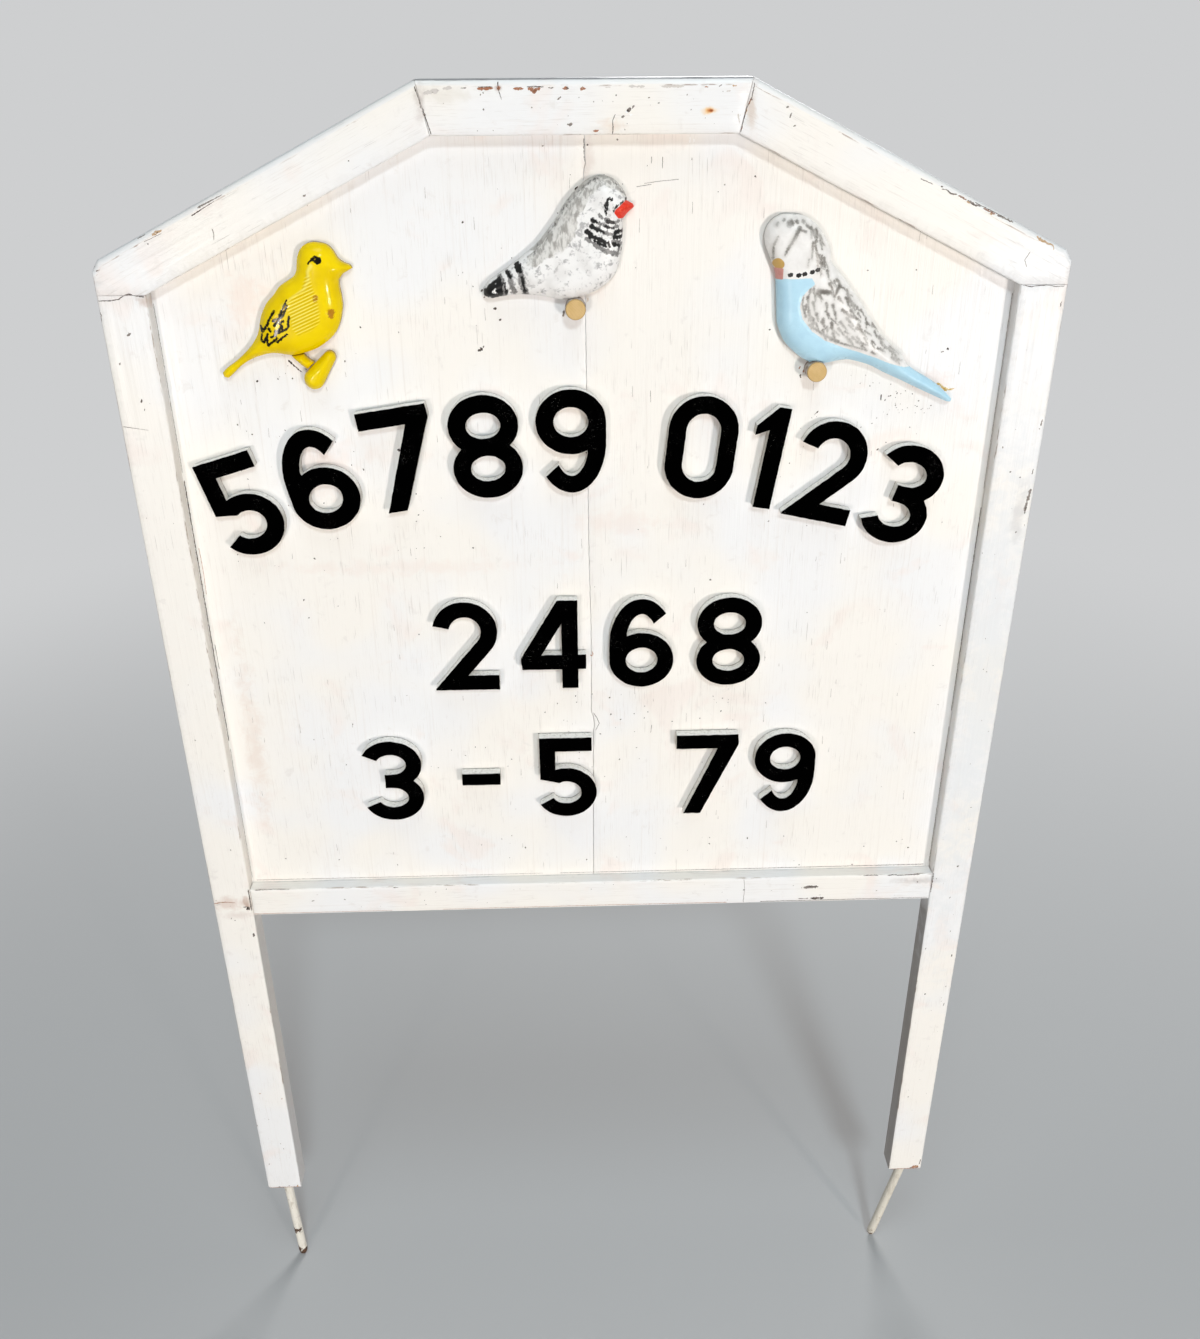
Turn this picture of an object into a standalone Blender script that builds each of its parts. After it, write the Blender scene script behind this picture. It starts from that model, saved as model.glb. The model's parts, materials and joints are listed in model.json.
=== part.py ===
"""Garden trade sign: a framed, house-shaped board on two legs that end in steel ground spikes.

Metres, +Z up, +X to the viewer's right, the face towards -Y. The origin is midway between the legs, level
with their sawn ends, in the middle of the frame timber's thickness.
"""

import math

import bmesh
import bpy
from mathutils import Vector
from mathutils.geometry import delaunay_2d_cdt

# Frame timber and the outline of the board
BOARD_WIDTH = 0.900
BOARD_HEIGHT = 0.891
LEG_LENGTH = 0.469
CROWN_LENGTH = 0.292
SHOULDER_DROP = 0.148
TIMBER_WIDTH = 0.045
TIMBER_THICKNESS = 0.029
BOTTOM_RAIL_HEIGHT = 0.037
ARRIS = 0.0012
TOP_ARRIS = 0.0055
STILE_ARRIS = 0.0025
SHOULDER_CLIP = 0.006

# Panel boards in their rebate
PANEL_THICKNESS = 0.013
REBATE_WIDTH = 0.012
BOARD_JOINT = 0.0006

# Gaps between pieces that touch
FIT_GAP = 0.0003
RAIL_END_GAP = 0.0008

# Dowels in the frame joints
DOWEL_DIAMETER = 0.008
DOWEL_LENGTH = 0.050
RAIL_DOWEL_INSET = 0.010

# Battens across the back, and their screws
BATTEN_WIDTH = 0.045
BATTEN_THICKNESS = 0.018
BATTEN_END_INSET = 0.010
UPPER_BATTEN_DROP = 0.300
LOWER_BATTEN_RISE = 0.131
SCREW_LENGTH = 0.028
SCREW_SHANK = 0.0040
SCREW_HEAD = 0.0082
SCREW_SLOT = 0.0010
BOARD_SCREW_OFFSET = 0.100

# Steel spikes in the leg ends
SPIKE_DIAMETER = 0.012
SPIKE_SEAT = 0.060
SPIKE_EXPOSED = 0.150
SPIKE_BEND_RADIUS = 0.030
LEFT_SPIKE_LEAN = 2.2
RIGHT_SPIKE_LEAN = 12.2

# Raised numbers
DIGIT_WIDTH = 0.069
DIGIT_HEIGHT = 0.104
DIGIT_THICKNESS = 0.012
STROKE = 0.0175
DASH_LENGTH = 0.043
DASH_HEIGHT = 0.015
ARC_RADIUS = 0.940
ARC_TILT_SHARE = 0.80
ARC_CENTRE = -0.013
ARC_END_MARGIN = 0.030
ARC_WORD_GAP = 0.060
ARC_DROP = 0.321
MIDDLE_ROW_DROP = 0.222
BOTTOM_ROW_DROP = 0.167
MIDDLE_ROW_LEFT = -0.168
MIDDLE_ROW_GAP = 0.025
BOTTOM_ROW_LEFT = -0.257
BOTTOM_ROW_GAP = 0.0445
BOTTOM_WORD_GAP = 0.090
BOTTOM_PAIR_GAP = 0.020

# Carved birds and their perches
CARVING_EDGE = 0.005
CARVING_CROWN = 0.013
CARVING_ROUND = 0.018
CARVING_GRID = 0.008
CANARY_LENGTH = 0.132
FINCH_LENGTH = 0.140
BUDGERIGAR_LENGTH = 0.193
PERCH_DIAMETER = 0.019
PERCH_LENGTH = 0.018
PIN_DIAMETER = 0.0024
PIN_SUNK = 0.0020
PIN_IN_PANEL = 0.0080
CANARY_PLACE = (-0.282, 0.194)
FINCH_PLACE = (-0.026, 0.133)
BUDGERIGAR_PLACE = (0.261, 0.201)

FRONT = -TIMBER_THICKNESS / 2
BACK = TIMBER_THICKNESS / 2
PANEL_FRONT = BACK - PANEL_THICKNESS
HALF_WIDTH = BOARD_WIDTH / 2
CROWN = LEG_LENGTH + BOARD_HEIGHT
SHOULDER = CROWN - SHOULDER_DROP
STILE_CENTRE = HALF_WIDTH - TIMBER_WIDTH / 2
OPENING_FLOOR = LEG_LENGTH + BOTTOM_RAIL_HEIGHT
DOWEL_DEPTH = (FRONT + PANEL_FRONT) / 2
PAST = 0.010

# Outlines of the carvings round their own centres, anticlockwise. Each is scaled to its carving's length
CANARY_OUTLINE = (
    (53, 28), (57, 33), (62, 36), (66, 38), (64, 41), (59, 43), (54, 47), (50, 54), (45, 59), (37, 61),
    (30, 61), (23, 58), (18, 51), (16, 43), (15, 37), (12, 32), (6, 28), (-2, 23), (-9, 15), (-16, 8),
    (-22, -2), (-25, -11), (-28, -20), (-34, -29), (-43, -38), (-53, -46), (-62, -52), (-66, -56),
    (-65, -60), (-61, -61), (-56, -57), (-48, -50), (-38, -44), (-27, -40), (-16, -38), (-6, -39),
    (4, -40), (14, -38), (26, -34), (36, -28), (44, -21), (49, -13), (52, -5), (54, 4), (54, 13), (53, 21),
)
CANARY_LEG_OUTLINE = (
    (1.0, -40.9), (12.8, -39.4), (14.5, -41.8), (17.5, -44.6),
    (21.8, -47.3), (15.0, -53.6), (11.5, -50.8), (6.5, -46.3),
)
FOOT_SMALL_END = (36.6, -42.8, 6.0)
FOOT_LARGE_END = (20.3, -63.0, 9.8)
CANARY_PINS = ((31.7, 15.1), (45.0, -0.1))
FINCH_OUTLINE = (
    (60, 11), (61, 19), (66, 24), (70, 28), (68, 32), (64, 33), (62, 39), (57, 46), (50, 52), (41, 54),
    (28, 51), (19, 44), (11, 36), (4, 27), (-1, 19), (-8, 10), (-17, -1), (-29, -11), (-40, -19), (-55, -29),
    (-66, -37), (-70, -42), (-70, -48), (-65, -51), (-56, -50), (-42, -48), (-30, -48), (-19, -49), (-8, -51),
    (3, -53), (13, -52), (25, -49), (37, -44), (47, -37), (54, -28), (57, -18), (59, -9), (60, 1),
)
FINCH_PERCH = (15.3, -60.4)
BUDGERIGAR_OUTLINE = (
    (-28, 40), (-33, 46), (-35, 56), (-39, 65), (-45, 74), (-52, 81), (-62, 87), (-72, 88), (-82, 88),
    (-90, 84), (-95, 78), (-97, 71), (-96, 62), (-92, 53), (-89, 46), (-86, 40), (-84, 30), (-83, 18),
    (-82, 6), (-81, -5), (-78, -16), (-72, -27), (-64, -35), (-55, -42), (-47, -46), (-40, -48), (-30, -47),
    (-21, -45), (-11, -44), (-1, -46), (12, -50), (26, -57), (44, -65), (61, -73), (79, -81), (90, -86),
    (95, -87), (96, -84), (91, -79), (83, -72), (71, -64), (57, -56), (47, -48), (41, -39), (32, -32),
    (22, -23), (12, -11), (3, 2), (-8, 16), (-18, 29),
)
BUDGERIGAR_PERCH = (-41.3, -53.4)


def clear_scene():
    for thing in list(bpy.data.objects):
        bpy.data.objects.remove(thing, do_unlink=True)


def finish_of(name, colour, roughness, metallic=0.0):
    """A plain Principled finish: linear colour, roughness and metallic value."""
    material = bpy.data.materials.new(name)
    material.use_nodes = True
    shader = material.node_tree.nodes["Principled BSDF"]
    shader.inputs["Base Color"].default_value = (*colour, 1.0)
    shader.inputs["Roughness"].default_value = roughness
    shader.inputs["Metallic"].default_value = metallic
    material.diffuse_color = (*colour, 1.0)
    return material


def add_object(name, data, material):
    thing = bpy.data.objects.new(name, data)
    bpy.context.collection.objects.link(thing)
    if material:
        data.materials.append(material)
    return thing


def add_mesh(name, shape, material, smooth=False):
    """Turns a bmesh into an object. Round pieces are shaded smooth, with their edges kept sharp."""
    mesh = bpy.data.meshes.new(name)
    bmesh.ops.recalc_face_normals(shape, faces=shape.faces)
    shape.to_mesh(mesh)
    shape.free()
    if smooth:
        mesh.shade_smooth()
        mesh.set_sharp_from_angle(angle=math.radians(35))
    return add_object(name, mesh, material)


def add_cutter(name, shape):
    cutter = add_mesh(name, shape, None)
    cutter.hide_render = True
    cutter.display_type = "WIRE"
    return cutter


def cut(target, cutter):
    boolean = target.modifiers.new(cutter.name, "BOOLEAN")
    boolean.operation = "DIFFERENCE"
    boolean.object = cutter


def prism(corners, front, back, arrises=()):
    """A solid with this outline in X and Z. Each side that arrises names gets its front edge eased by that
    much, and its back edge by ARRIS, once the piece has its Bevel modifier."""
    shape = bmesh.new()
    weight = shape.edges.layers.float.new("bevel_weight_edge")
    near = [shape.verts.new((x, front, z)) for x, z in corners]
    far = [shape.verts.new((x, back, z)) for x, z in corners]
    shape.faces.new(near)
    shape.faces.new(far[::-1])
    for i in range(len(corners)):
        j = (i + 1) % len(corners)
        shape.faces.new((near[i], far[i], far[j], near[j]))
        if i in arrises:
            shape.edges.get((near[i], near[j]))[weight] = arrises[i] / TOP_ARRIS
            shape.edges.get((far[i], far[j]))[weight] = ARRIS / TOP_ARRIS
    return shape


def add_timber(name, corners, front, back, arrises, paint, flip=False):
    """A planed timber with eased edges, or its mirror image."""
    shape = prism(corners, front, back, arrises)
    timber = add_mesh(name, mirror(shape) if flip else shape, paint)
    easing = timber.modifiers.new("eased_edges", "BEVEL")
    easing.width = TOP_ARRIS
    easing.segments = 3
    easing.limit_method = "WEIGHT"
    return timber


def box(low, high):
    (x0, y0, z0), (x1, y1, z1) = low, high
    return prism(((x0, z0), (x1, z0), (x1, z1), (x0, z1)), y0, y1)


def swept(path, radii, sides=16):
    """A round bar along a path that lies in a plane of constant Y, or straight along Y."""
    shape = bmesh.new()
    path = [Vector(point) for point in path]
    rings = []
    for i, (point, radius) in enumerate(zip(path, radii)):
        along = (path[min(i + 1, len(path) - 1)] - path[max(i - 1, 0)]).normalized()
        across = Vector((1, 0, 0)) if abs(along.y) > 0.9 else Vector((0, 1, 0))
        other = along.cross(across).normalized()
        turns = [2 * math.pi * step / sides for step in range(sides)]
        ring = [point + radius * (math.cos(t) * across + math.sin(t) * other) for t in turns]
        rings.append([shape.verts.new(corner) for corner in ring])
    for one, two in zip(rings, rings[1:]):
        for step in range(sides):
            after = (step + 1) % sides
            shape.faces.new((one[step], one[after], two[after], two[step]))
    shape.faces.new(rings[0])
    shape.faces.new(rings[-1][::-1])
    return shape


def crossing(p, along_p, q, along_q):
    """Where two lines in X and Z meet, each given by a point and a direction."""
    scale = along_p[0] * along_q[1] - along_p[1] * along_q[0]
    reach = ((q[0] - p[0]) * along_q[1] - (q[1] - p[1]) * along_q[0]) / scale
    return (p[0] + reach * along_p[0], p[1] + reach * along_p[1])


def trimmed(corners, trims):
    """Moves each side of an anticlockwise outline inwards. A side runs from its corner to the next."""
    lines = []
    for i, trim in enumerate(trims):
        (x0, z0), (x1, z1) = corners[i], corners[(i + 1) % len(corners)]
        length = math.hypot(x1 - x0, z1 - z0)
        along = ((x1 - x0) / length, (z1 - z0) / length)
        lines.append(((x0 - trim * along[1], z0 + trim * along[0]), along))
    return [crossing(*lines[i - 1], *lines[i]) for i in range(len(lines))]


def shoulder_and_crown(inset):
    """The right shoulder and crown corners of the board's outline, set in from its outer edge."""
    run = HALF_WIDTH - CROWN_LENGTH / 2
    slope = math.hypot(run, SHOULDER_DROP)
    rise, level = SHOULDER_DROP / slope, run / slope
    shoulder_z = SHOULDER - inset * (1 - rise) / level
    crown_x = HALF_WIDTH - (inset + (SHOULDER_DROP - inset) * level) / rise
    return (HALF_WIDTH - inset, shoulder_z), (crown_x, CROWN - inset)


def board_outline(inset, floor):
    """The whole house-shaped outline, anticlockwise from its lower left corner."""
    shoulder, crown = shoulder_and_crown(inset)
    right = [(HALF_WIDTH - inset, floor), shoulder, crown]
    return [(-right[0][0], floor), *right, (-crown[0], crown[1]), (-shoulder[0], shoulder[1])]


def mirror(shape):
    bmesh.ops.scale(shape, vec=(-1, 1, 1), verts=shape.verts)
    bmesh.ops.reverse_faces(shape, faces=shape.faces)
    return shape


def make_frame(paint, rebate):
    """Top rail, sloped rails, stiles with their legs, and bottom rail, all with the panel's rebate."""
    outer_shoulder, outer_crown = shoulder_and_crown(0.0)
    inner_shoulder, inner_crown = shoulder_and_crown(TIMBER_WIDTH)
    half_gap = FIT_GAP / 2
    joint = inner_shoulder[1]
    pieces = []
    top = [(-inner_crown[0], inner_crown[1]), inner_crown, outer_crown, (-outer_crown[0], outer_crown[1])]
    top = trimmed(top, (0, half_gap, 0, half_gap))
    pieces.append(add_timber("top_rail", top, FRONT, BACK, {0: ARRIS, 2: TOP_ARRIS}, paint))
    end = HALF_WIDTH - TIMBER_WIDTH - RAIL_END_GAP
    bottom = [(-end, LEG_LENGTH), (end, LEG_LENGTH), (end, OPENING_FLOOR), (-end, OPENING_FLOOR)]
    pieces.append(add_timber("bottom_rail", bottom, FRONT, BACK, {0: ARRIS, 2: ARRIS}, paint))
    back_along = (Vector(outer_crown) - Vector(outer_shoulder)).normalized() * SHOULDER_CLIP
    clip = [(HALF_WIDTH, SHOULDER - SHOULDER_CLIP), tuple(Vector(outer_shoulder) + back_along)]
    sloped = [inner_shoulder, (HALF_WIDTH, joint), *clip, outer_crown, inner_crown]
    sloped = trimmed(sloped, (half_gap, 0, 0, 0, half_gap, 0))
    sloped_arrises = {1: STILE_ARRIS, 2: TOP_ARRIS, 3: TOP_ARRIS, 5: ARRIS}
    inner = HALF_WIDTH - TIMBER_WIDTH
    stile = [(inner, 0), (HALF_WIDTH, 0), (HALF_WIDTH, joint), (inner, joint)]
    stile = trimmed(stile, (0, 0, half_gap, 0))
    stile_arrises = {0: ARRIS, 1: STILE_ARRIS, 3: ARRIS}
    for side in ("right", "left"):
        flip = side == "left"
        pieces.append(add_timber(f"sloped_rail_{side}", sloped, FRONT, BACK, sloped_arrises, paint, flip))
        pieces.append(add_timber(f"stile_{side}", stile, FRONT, BACK, stile_arrises, paint, flip))
    for piece in pieces:
        cut(piece, rebate)
    return {piece.name: piece for piece in pieces}


def make_panel(paint):
    """Two boards that meet on the centre line."""
    corners = board_outline(TIMBER_WIDTH - REBATE_WIDTH, OPENING_FLOOR - REBATE_WIDTH)
    middle = BOARD_JOINT / 2
    right = [(middle, corners[1][1]), corners[1], corners[2], corners[3], (middle, corners[3][1])]
    boards = {}
    for side in ("left", "right"):
        shape = prism(right, PANEL_FRONT, BACK)
        if side == "left":
            mirror(shape)
        boards[side] = add_mesh(f"panel_board_{side}", shape, paint)
    return boards


def rebate_cutter():
    inset = TIMBER_WIDTH - REBATE_WIDTH - FIT_GAP
    corners = board_outline(inset, OPENING_FLOOR - REBATE_WIDTH - FIT_GAP)
    return add_cutter("rebate_cutter", prism(corners, PANEL_FRONT - FIT_GAP, BACK + PAST))


def make_dowel(name, centre, along, joined, wood):
    """A dowel across a frame joint, with its bore in both pieces."""
    middle = Vector((centre[0], DOWEL_DEPTH, centre[1]))
    half = Vector((along[0], 0, along[1])).normalized() * DOWEL_LENGTH / 2
    radius = DOWEL_DIAMETER / 2
    tip = half.normalized() * radius / 3
    path = (middle - half, middle - half + tip, middle + half - tip, middle + half)
    add_mesh(name, swept(path, (radius * 0.7, radius, radius, radius * 0.7), 12), wood, smooth=True)
    room = half + half.normalized() * FIT_GAP
    bore = swept((middle - room, middle + room), (radius + FIT_GAP,) * 2, 12)
    cutter = add_cutter(f"{name}_bore", bore)
    for piece in joined:
        cut(piece, cutter)


def make_dowels(frame, wood):
    outer, inner = shoulder_and_crown(0.0)[1], shoulder_and_crown(TIMBER_WIDTH)[1]
    mitre = ((outer[0] + inner[0]) / 2, (outer[1] + inner[1]) / 2)
    shoulder = shoulder_and_crown(TIMBER_WIDTH)[0][1]
    rail_levels = {"lower": LEG_LENGTH + RAIL_DOWEL_INSET, "upper": OPENING_FLOOR - RAIL_DOWEL_INSET}
    for side, sign in (("left", -1), ("right", 1)):
        sloped, stile = frame[f"sloped_rail_{side}"], frame[f"stile_{side}"]
        place = (sign * mitre[0], mitre[1])
        square = (sign * (outer[1] - inner[1]), inner[0] - outer[0])
        make_dowel(f"mitre_dowel_{side}", place, square, (frame["top_rail"], sloped), wood)
        make_dowel(f"shoulder_dowel_{side}", (sign * STILE_CENTRE, shoulder), (0, 1), (sloped, stile), wood)
        for level, z in rail_levels.items():
            place = (sign * (HALF_WIDTH - TIMBER_WIDTH), z)
            make_dowel(f"rail_dowel_{level}_{side}", place, (1, 0), (frame["bottom_rail"], stile), wood)


def make_screw(name, x, z, held, steel):
    """A slotted countersunk screw driven from behind, with its hole in each piece it holds."""
    head_face = BACK + FIT_GAP + BATTEN_THICKNESS
    neck = (SCREW_HEAD - SCREW_SHANK) / 2
    depths = (0, neck, SCREW_LENGTH - 2 * SCREW_SHANK, SCREW_LENGTH)
    radii = (SCREW_HEAD / 2, SCREW_SHANK / 2, SCREW_SHANK / 2, SCREW_SHANK / 8)
    path = [(x, head_face - depth, z) for depth in depths]
    screw = add_mesh(name, swept(path, radii, 12), steel, smooth=True)
    reach = SCREW_HEAD
    slot_low = (x - reach, head_face - SCREW_SLOT, z - SCREW_SLOT / 2)
    slot = box(slot_low, (x + reach, head_face + PAST, z + SCREW_SLOT / 2))
    cut(screw, add_cutter(f"{name}_slot", slot))
    wider = [radius + FIT_GAP for radius in radii[:3]]
    depths = (-PAST, 0, neck, SCREW_LENGTH + FIT_GAP)
    path = [(x, head_face - depth, z) for depth in depths]
    hole = add_cutter(f"{name}_hole", swept(path, (wider[0], *wider), 12))
    for piece in held:
        cut(piece, hole)


def make_battens(frame, boards, paint, steel):
    """Two battens from stile to stile hold the boards level with each other."""
    reach = HALF_WIDTH - BATTEN_END_INSET
    levels = {"upper": CROWN - UPPER_BATTEN_DROP, "lower": LEG_LENGTH + LOWER_BATTEN_RISE}
    front = BACK + FIT_GAP
    for level, z in levels.items():
        low, high = z - BATTEN_WIDTH / 2, z + BATTEN_WIDTH / 2
        corners = ((-reach, low), (reach, low), (reach, high), (-reach, high))
        arrises = dict.fromkeys(range(len(corners)), ARRIS)
        batten = add_timber(f"batten_{level}", corners, front, front + BATTEN_THICKNESS, arrises, paint)
        for side, sign in (("left", -1), ("right", 1)):
            outer, inner = f"{level}_stile_screw_{side}", f"{level}_board_screw_{side}"
            make_screw(outer, sign * STILE_CENTRE, z, (batten, frame[f"stile_{side}"]), steel)
            make_screw(inner, sign * BOARD_SCREW_OFFSET, z, (batten, boards[side]), steel)


def make_spikes(frame, steel):
    """Round bars driven up into the leg ends. Each leans in below the leg, the right one much more."""
    radius = SPIKE_DIAMETER / 2
    for side, sign, lean in (("left", -1, LEFT_SPIKE_LEAN), ("right", 1, RIGHT_SPIKE_LEAN)):
        x, angle = sign * STILE_CENTRE, math.radians(lean)
        path = [Vector((x, 0, SPIKE_SEAT)), Vector((x, 0, -FIT_GAP))]
        bends = 4
        for step in range(1, bends + 1):
            turn = angle * step / bends
            inward = SPIKE_BEND_RADIUS * (1 - math.cos(turn))
            path.append(Vector((x - sign * inward, 0, -FIT_GAP - SPIKE_BEND_RADIUS * math.sin(turn))))
        along = Vector((-sign * math.sin(angle), 0, -math.cos(angle)))
        rest = SPIKE_EXPOSED - SPIKE_BEND_RADIUS * angle
        path.append(path[-1] + along * (rest - radius))
        path.append(path[-1] + along * radius)
        radii = [radius] * (len(path) - 1) + [radius * 0.55]
        add_mesh(f"spike_{side}", swept(path, radii, 16), steel, smooth=True)
        bore = swept(((x, 0, SPIKE_SEAT + FIT_GAP), (x, 0, -PAST)), (radius + FIT_GAP,) * 2, 16)
        cut(frame[f"stile_{side}"], add_cutter(f"spike_bore_{side}", bore))


def oval(x, z, half_wide, half_high, start, stop, steps=12):
    """Points on an oval from one angle to another, in degrees from +X towards +Z."""
    angles = [math.radians(start + (stop - start) * step / steps) for step in range(steps + 1)]
    return [(x + half_wide * math.cos(turn), z + half_high * math.sin(turn)) for turn in angles]


def number_outlines(mark):
    """The outer line of one block number and the lines of its holes, round its own centre."""
    a, b, s = DIGIT_WIDTH / 2, DIGIT_HEIGHT / 2, STROKE
    inner = a - s
    bowl = (b + s / 2) / 2
    middle = b - bowl
    waist = math.degrees(math.asin(middle / bowl))
    ring = 0.62 * b
    if mark == "0":
        tall = b - a
        outer = oval(0, tall, a, a, 0, 180) + oval(0, -tall, a, a, 180, 360)
        hole = oval(0, tall, inner, inner, 0, 180) + oval(0, -tall, inner, inner, 180, 360)
        return [outer, hole]
    if mark == "1":
        flag = s * 0.75
        top_left = (-s / 2 - flag, b - 1.6 * flag)
        under = b - s - flag
        head = [(s / 2, b), (-s / 5, b), top_left, (top_left[0], under), (-s / 2, under + flag / 2)]
        return [[(s / 2, -b), *head, (-s / 2, -b)]]
    if mark == "2":
        tall = b - a
        turn = 40
        lean = (-math.sin(math.radians(turn)), -math.cos(math.radians(turn)))
        outer, hollow = oval(0, tall, a, a, -turn, 168), oval(0, tall, inner, inner, 168, -turn)
        foot = crossing(outer[0], lean, (0, s - b), (1, 0))
        heel = crossing(hollow[-1], lean, (-a, 0), (0, 1))
        return [[foot] + outer + hollow + [heel, (-a, -b), (a, -b), (a, s - b)]]
    if mark == "3":
        notch = s * 0.45
        high = oval(0, middle, a, bowl, -waist, 155) + oval(0, middle, inner, bowl - s, 155, -90)
        low = oval(0, -middle, inner, bowl - s, 90, -155) + oval(0, -middle, a, bowl, -155, waist)
        return [low[:-1] + high + [(-notch, s / 2), (-notch, -s / 2)]]
    if mark == "4":
        stem, bar = 0.75 * a, -0.56 * b
        top = (stem - 1.25 * s, b)
        left = (-a, bar + 0.9 * s)
        lean = (top[0] - left[0], top[1] - left[1])
        length = math.hypot(*lean)
        inside = (left[0] + s * lean[1] / length, left[1] - s * lean[0] / length)
        hole_top = crossing(inside, lean, (stem - s, 0), (0, 1))
        hole_left = crossing(inside, lean, (0, bar + s), (1, 0))
        outer = [(stem, -b), (stem, bar), (a, bar), (a, bar + s), (stem, bar + s), (stem, b), top, left,
                 (-a, bar), (stem - s, bar), (stem - s, -b)]
        return [outer, [hole_top, hole_left, (stem - s, bar + s)]]
    if mark == "5":
        low = -b + ring
        left = -0.85 * a
        belly = oval(0, low, a, ring, -150, 112, 20)
        hollow = oval(0, low, inner, ring - s, 120, -150, 16)
        arm = [(left + s, low + 0.93 * ring), (left + s, b - s), (-left, b - s), (-left, b), (left, b)]
        return [belly + arm + [(left, low + 0.55 * ring)] + hollow]
    if mark in ("6", "9"):
        low = -b + ring
        outer = oval(0, low, a, ring, 180, 477, 24)
        back = oval(0, 0, inner, b - s, 160, 42)
        front = oval(0, 0, a, b, 42, 180)
        lines = [outer + back + front, oval(0, low, inner, ring - s, 0, 345, 23)]
        turned = -1 if mark == "9" else 1
        return [[(turned * x, turned * z) for x, z in line] for line in lines]
    if mark == "7":
        foot = -0.72 * a
        leg = [(a - 1.3 * s, b - s), (foot, -b), (foot + 1.12 * s, -b), (a, b - 0.85 * s)]
        return [[(a, b), (-a, b), (-a, b - s), *leg]]
    if mark == "8":
        outer = oval(0, middle, a, bowl, -waist, 180 + waist, 20)
        outer += oval(0, -middle, a, bowl, 180 - waist, 360 + waist, 20)[1:-1]
        holes = [oval(0, z, inner, bowl - s, 0, 345, 23) for z in (middle, -middle)]
        return [outer, *holes]
    end, top = DASH_LENGTH / 2, DASH_HEIGHT / 2
    return [[(-end, -top), (end, -top), (end, top), (-end, top)]]


def width_of(mark):
    xs = [x for x, z in number_outlines(mark)[0]]
    return max(xs) - min(xs)


def middle_of(mark):
    xs = [x for x, z in number_outlines(mark)[0]]
    return (max(xs) + min(xs)) / 2


def make_number(name, mark, x, z, tilt, enamel):
    """One cut-out number, planted on the panel."""
    curve = bpy.data.curves.new(name, "CURVE")
    curve.dimensions = "2D"
    curve.fill_mode = "BOTH"
    curve.extrude = DIGIT_THICKNESS / 2
    shift = middle_of(mark)
    for line in number_outlines(mark):
        spline = curve.splines.new("POLY")
        spline.points.add(len(line) - 1)
        for point, (px, pz) in zip(spline.points, line):
            point.co = (px - shift, pz, 0, 1)
        spline.use_cyclic_u = True
    number = add_object(name, curve, enamel)
    number.location = (x, PANEL_FRONT - FIT_GAP - DIGIT_THICKNESS / 2, z)
    number.rotation_euler = (math.pi / 2, tilt, 0)


def make_arc_row(marks, enamel):
    """Numbers along a flat arch. They share the space between the stiles evenly, in two groups."""
    reach = HALF_WIDTH - TIMBER_WIDTH - ARC_END_MARGIN + ARC_CENTRE
    length = 2 * ARC_RADIUS * math.asin(reach / ARC_RADIUS)
    widths = [width_of(mark) for group in marks for mark in group]
    gap = (length - sum(widths) - ARC_WORD_GAP) / (len(widths) - len(marks))
    along = -length / 2
    level = CROWN - ARC_DROP - ARC_RADIUS
    for group in marks:
        for mark in group:
            angle = (along + width_of(mark) / 2) / ARC_RADIUS
            x = ARC_CENTRE + ARC_RADIUS * math.sin(angle)
            z = level + ARC_RADIUS * math.cos(angle)
            make_number(f"top_number_{mark}", mark, x, z, ARC_TILT_SHARE * angle, enamel)
            along += width_of(mark) + gap
        along += ARC_WORD_GAP - gap


def make_straight_row(prefix, marks, left, gap, z, enamel):
    """Numbers in a straight row. Returns where the row ends."""
    for mark in marks:
        wide = width_of(mark)
        name = f"{prefix}_dash" if mark == "-" else f"{prefix}_number_{mark}"
        make_number(name, mark, left + wide / 2, z, 0, enamel)
        left += wide + gap
    return left - gap


def make_numbers(enamel):
    make_arc_row(("56789", "0123"), enamel)
    middle = CROWN - ARC_DROP - MIDDLE_ROW_DROP
    make_straight_row("middle", "2468", MIDDLE_ROW_LEFT, MIDDLE_ROW_GAP, middle, enamel)
    bottom = middle - BOTTOM_ROW_DROP
    end = make_straight_row("bottom", "3-5", BOTTOM_ROW_LEFT, BOTTOM_ROW_GAP, bottom, enamel)
    make_straight_row("bottom", "79", end + BOTTOM_WORD_GAP, BOTTOM_PAIR_GAP, bottom, enamel)


def distance_to(line, point):
    """How far a point lies from a closed line, and whether it is inside."""
    nearest, inside = math.inf, False
    for i, end in enumerate(line):
        start = line[i - 1]
        side = end - start
        along = max(0.0, min(1.0, (point - start).dot(side) / side.length_squared))
        nearest = min(nearest, (start + side * along - point).length)
        if (start.y > point.y) != (end.y > point.y):
            if point.x < start.x + (point.y - start.y) * side.x / side.y:
                inside = not inside
    return nearest, inside


def carved_height(depth):
    """How far a carving stands off the panel at this distance in from its edge."""
    rise = 1 - min(depth / CARVING_ROUND, 1.0)
    return CARVING_EDGE + CARVING_CROWN * math.sqrt(1 - rise * rise)


def drawing_scale(outline, length):
    """Metres for each unit of a carving's drawing, so that its outline is this long along X."""
    xs = [x for x, z in outline]
    return length / (max(xs) - min(xs))


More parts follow.
